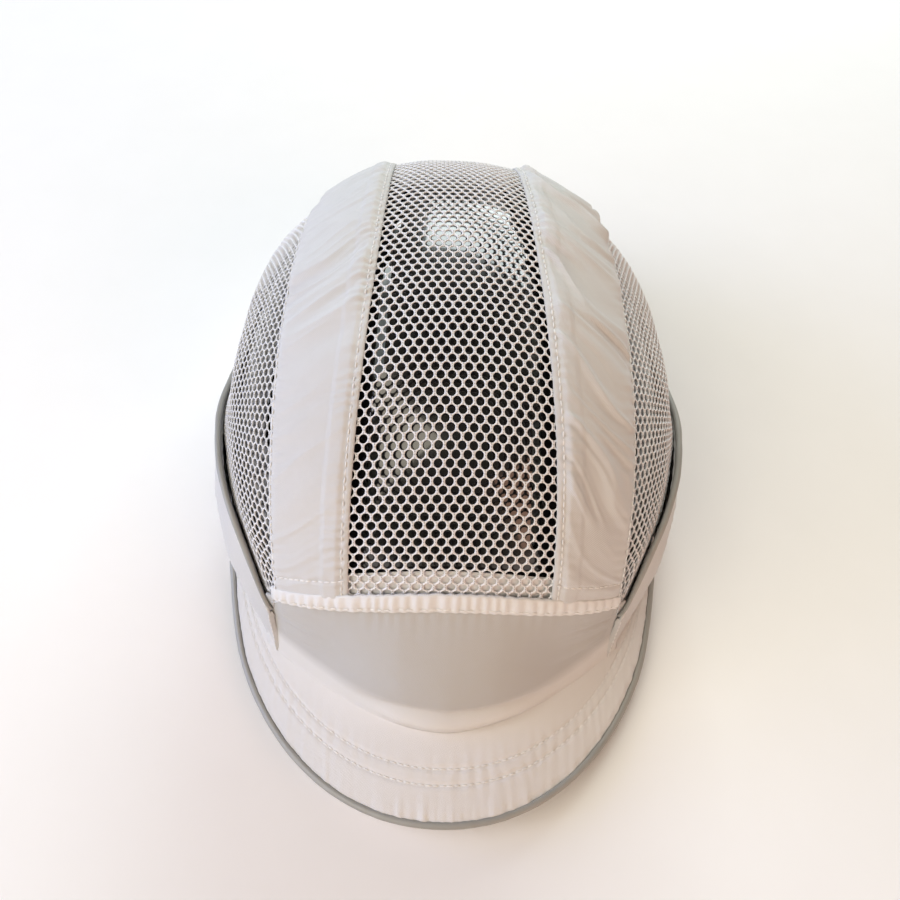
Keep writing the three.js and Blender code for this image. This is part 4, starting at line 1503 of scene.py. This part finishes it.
webbing = Finish("white strap twill", (0.80, 0.785, 0.755), 0.7, Sheen_Weight=0.2)
weave(webbing, (0.85, 0.84, 0.81), (0.74, 0.72, 0.69), 0.9)
u, v = field(150, 22)
end_round = np.sqrt(np.clip(1 - np.clip((0.06 - u) / 0.06, 0, 1) ** 2, 0.12, 1))
strap_z = 16.5 + (v - 0.5) * (STRAP_HIGH - STRAP_LOW) * mix(0.72, 1.0, end_round)
strap_s = mix(-40, 78, u)
edge_gap = np.minimum(v, 1 - v) * 17
dip = trench(edge_gap - 2.0, 0.18, 0.6)
strap_form = on_strap(strap_s, 0.7 + dip, strap_z)
strap = net("strap_twill", strap_form, (118, 17), STRAP_MIDDLE)
modified(strap, "SOLIDIFY", thickness=0.0014, offset=-1)
modified(
    strap,
    "BEVEL",
    width=0.0004,
    segments=2,
    limit_method="ANGLE",
    angle_limit=math.radians(60),
)
finished(strap, webbing, "strap", "webbing", "adjuster_strap")
ups = outward(strap_form, STRAP_MIDDLE)
sew(
    "strap_stitches",
    [(strap_form[6:-2, j], ups[6:-2, j]) for j in (3, 19)],
    slot="webbing",
    body="strap",
)

path = [(-71, 1.1), (-67.5, 1.1), (-66, 0.2), (-62.5, -2.6), (-60.5, -3.45), (-50, -3.45)]
path += [(-40, -3.45), (-30, -3.45)]
for step in range(7):
    turn = math.radians(-90 + 15 * step)
    path.append((BAR_S + 1.65 * math.cos(turn), BAR_T + 1.65 * math.sin(turn)))
path = np.array(path)
path = even_points(np.pad(path, ((0, 0), (0, 1))), 0.8)[:, :2]
tab_z = np.linspace(STRAP_LOW + 0.6, STRAP_HIGH - 0.6, 17)
tab_form = on_strap(path[:, None, 0], path[:, None, 1] + 0.45, tab_z[None, :])
tab = net("buckle_loop_webbing", tab_form, (46, 16), STRAP_MIDDLE)
modified(tab, "SOLIDIFY", thickness=0.0009, offset=-1)
finished(tab, webbing, "cap", "webbing", "buckle_tab")

nylon = Finish("black moulded nylon", (0.022, 0.022, 0.024), 0.42)
nylon_place = nylon.place()
spark = nylon.noise(nylon_place, 1800.0, 3.0)
rub = nylon.noise(nylon_place, 120.0, 3.0)
nylon.set("Base Color", nylon.blend(rub, (0.017, 0.017, 0.019), (0.032, 0.032, 0.035)))
nylon.set("Roughness", 0.36 + 0.16 * spark)
nylon.bump(spark, 0.00005, 0.6)


def bar(name, s0, s1, t0, t1, z0, z1, edge=0.35):
    """A cube primitive bent along the strap's arc, with its edges rounded."""
    start_clean()
    bpy.ops.mesh.primitive_cube_add(size=1)
    piece = bpy.context.object
    piece.name = name
    bpy.ops.object.mode_set(mode="EDIT")
    bpy.ops.mesh.select_all(action="SELECT")
    bpy.ops.mesh.subdivide(number_cuts=5)
    bpy.ops.object.mode_set(mode="OBJECT")
    co = np.array([vertex.co for vertex in piece.data.vertices]) + 0.5
    points = on_strap(mix(s0, s1, co[:, 0]), mix(t0, t1, co[:, 1]), mix(z0, z1, co[:, 2]))
    piece.data.vertices.foreach_set("co", to_metres(points).ravel())
    bpy.ops.object.mode_set(mode="EDIT")
    bpy.ops.mesh.normals_make_consistent(inside=False)
    bpy.ops.object.mode_set(mode="OBJECT")
    modified(
        piece,
        "BEVEL",
        width=edge / 1000,
        segments=3,
        limit_method="ANGLE",
        angle_limit=math.radians(50),
    )
    return piece


def rod(name, s, t, radius, z0, z1, edge=0.15):
    place = to_metres(on_strap(s, t, (z0 + z1) / 2))
    start_clean()
    bpy.ops.mesh.primitive_cylinder_add(
        vertices=32, radius=radius / 1000, depth=(z1 - z0) / 1000, location=place
    )
    piece = bpy.context.object
    piece.name = name
    bpy.ops.object.transform_apply(location=True, rotation=True, scale=True)
    modified(
        piece,
        "BEVEL",
        width=edge / 1000,
        segments=2,
        limit_method="ANGLE",
        angle_limit=math.radians(50),
    )
    return piece


def one_piece(name, pieces):
    start_clean()
    for piece in pieces:
        piece.select_set(True)
    bpy.context.view_layer.objects.active = pieces[0]
    bpy.ops.object.join()
    pieces[0].name = name
    return pieces[0]


def crisp(piece):
    start_clean()
    piece.select_set(True)
    bpy.context.view_layer.objects.active = piece
    bpy.ops.object.shade_smooth_by_angle(angle=math.radians(35))


LOW_RAIL, HIGH_RAIL = STRAP_LOW - 0.6, STRAP_HIGH + 0.6
frame_piece = one_piece(
    "buckle_frame_moulding",
    [
        bar("plate", -23, -1.5, -2.7, -1.2, LOW_RAIL - 1.8, HIGH_RAIL + 1.8),
        bar("low rail", -29, -1.5, -2.7, 4, LOW_RAIL - 2, LOW_RAIL, 0.6),
        bar("high rail", -29, -1.5, -2.7, 4, HIGH_RAIL, HIGH_RAIL + 2, 0.6),
        rod("bar", BAR_S, BAR_T, 0.7, LOW_RAIL - 0.5, HIGH_RAIL + 0.5),
    ],
)
finished(frame_piece, nylon, "cap", "buckle", "buckle_frame")
crisp(frame_piece)

start_clean()
outline = []
for step in range(15):
    turn = math.pi / 2 - (math.pi + 0.6) * step / 14
    outline.append((PIN_S + 1.6 * math.cos(turn), PIN_T + 1.6 * math.sin(turn)))
outline += [
    (PIN_S - 4, PIN_T - 0.9),
    (PIN_S - 11, PIN_T - 0.7),
    (PIN_S - 18, PIN_T - 0.5),
    (PIN_S - 19.3, PIN_T - 0.1),
    (PIN_S - 20, PIN_T + 0.5),
    (PIN_S - 20, PIN_T + 1.3),
    (PIN_S - 17.5, PIN_T + 1.0),
    (PIN_S - 11, PIN_T + 1.1),
    (PIN_S - 4, PIN_T + 1.2),
]
outline = np.array(outline)
bpy.ops.mesh.primitive_circle_add(vertices=len(outline), radius=1, fill_type="NGON")
lever = bpy.context.object
lever.name = "lever"
flat = np.column_stack([outline, np.full(len(outline), STRAP_LOW)])
lever.data.vertices.foreach_set("co", flat.ravel())
bpy.ops.object.mode_set(mode="EDIT")
bpy.ops.mesh.select_all(action="SELECT")
bpy.ops.mesh.extrude_region_move(
    TRANSFORM_OT_translate={"value": (0, 0, STRAP_HIGH - STRAP_LOW)}
)
bpy.ops.object.mode_set(mode="OBJECT")
co = np.array([vertex.co for vertex in lever.data.vertices])
bent = to_metres(on_strap(co[:, 0], co[:, 1], co[:, 2]))
lever.data.vertices.foreach_set("co", bent.ravel())
bpy.ops.object.mode_set(mode="EDIT")
bpy.ops.mesh.select_all(action="SELECT")
bpy.ops.mesh.normals_make_consistent(inside=False)
bpy.ops.object.mode_set(mode="OBJECT")
modified(
    lever,
    "BEVEL",
    width=0.0003,
    segments=2,
    limit_method="ANGLE",
    angle_limit=math.radians(50),
)
ribs = []
for k in range(4):
    s_rib = PIN_S - 16.8 + 1.5 * k
    ribs.append(
        bar("rib", s_rib, s_rib + 0.7, PIN_T + 0.8, PIN_T + 1.5, 10.5, 22.5, 0.2)
    )
lever = one_piece("buckle_lever_moulding", [lever, *ribs])
finished(lever, nylon, "lever", "buckle", "buckle_lever")
crisp(lever)

steel = Finish("bright steel", (0.62, 0.62, 0.63), 0.25, Metallic=1.0)
brushed = steel.noise(steel.place(), 900.0, 2.0)
steel.set("Roughness", 0.2 + 0.2 * brushed)
steel.bump(brushed, 0.00002, 0.3)
pin = rod("buckle_pin_steel", PIN_S, PIN_T, 0.9, LOW_RAIL - 2.1, HIGH_RAIL + 2.1)
finished(pin, steel, "cap", "pin", "buckle_pin")
crisp(pin)
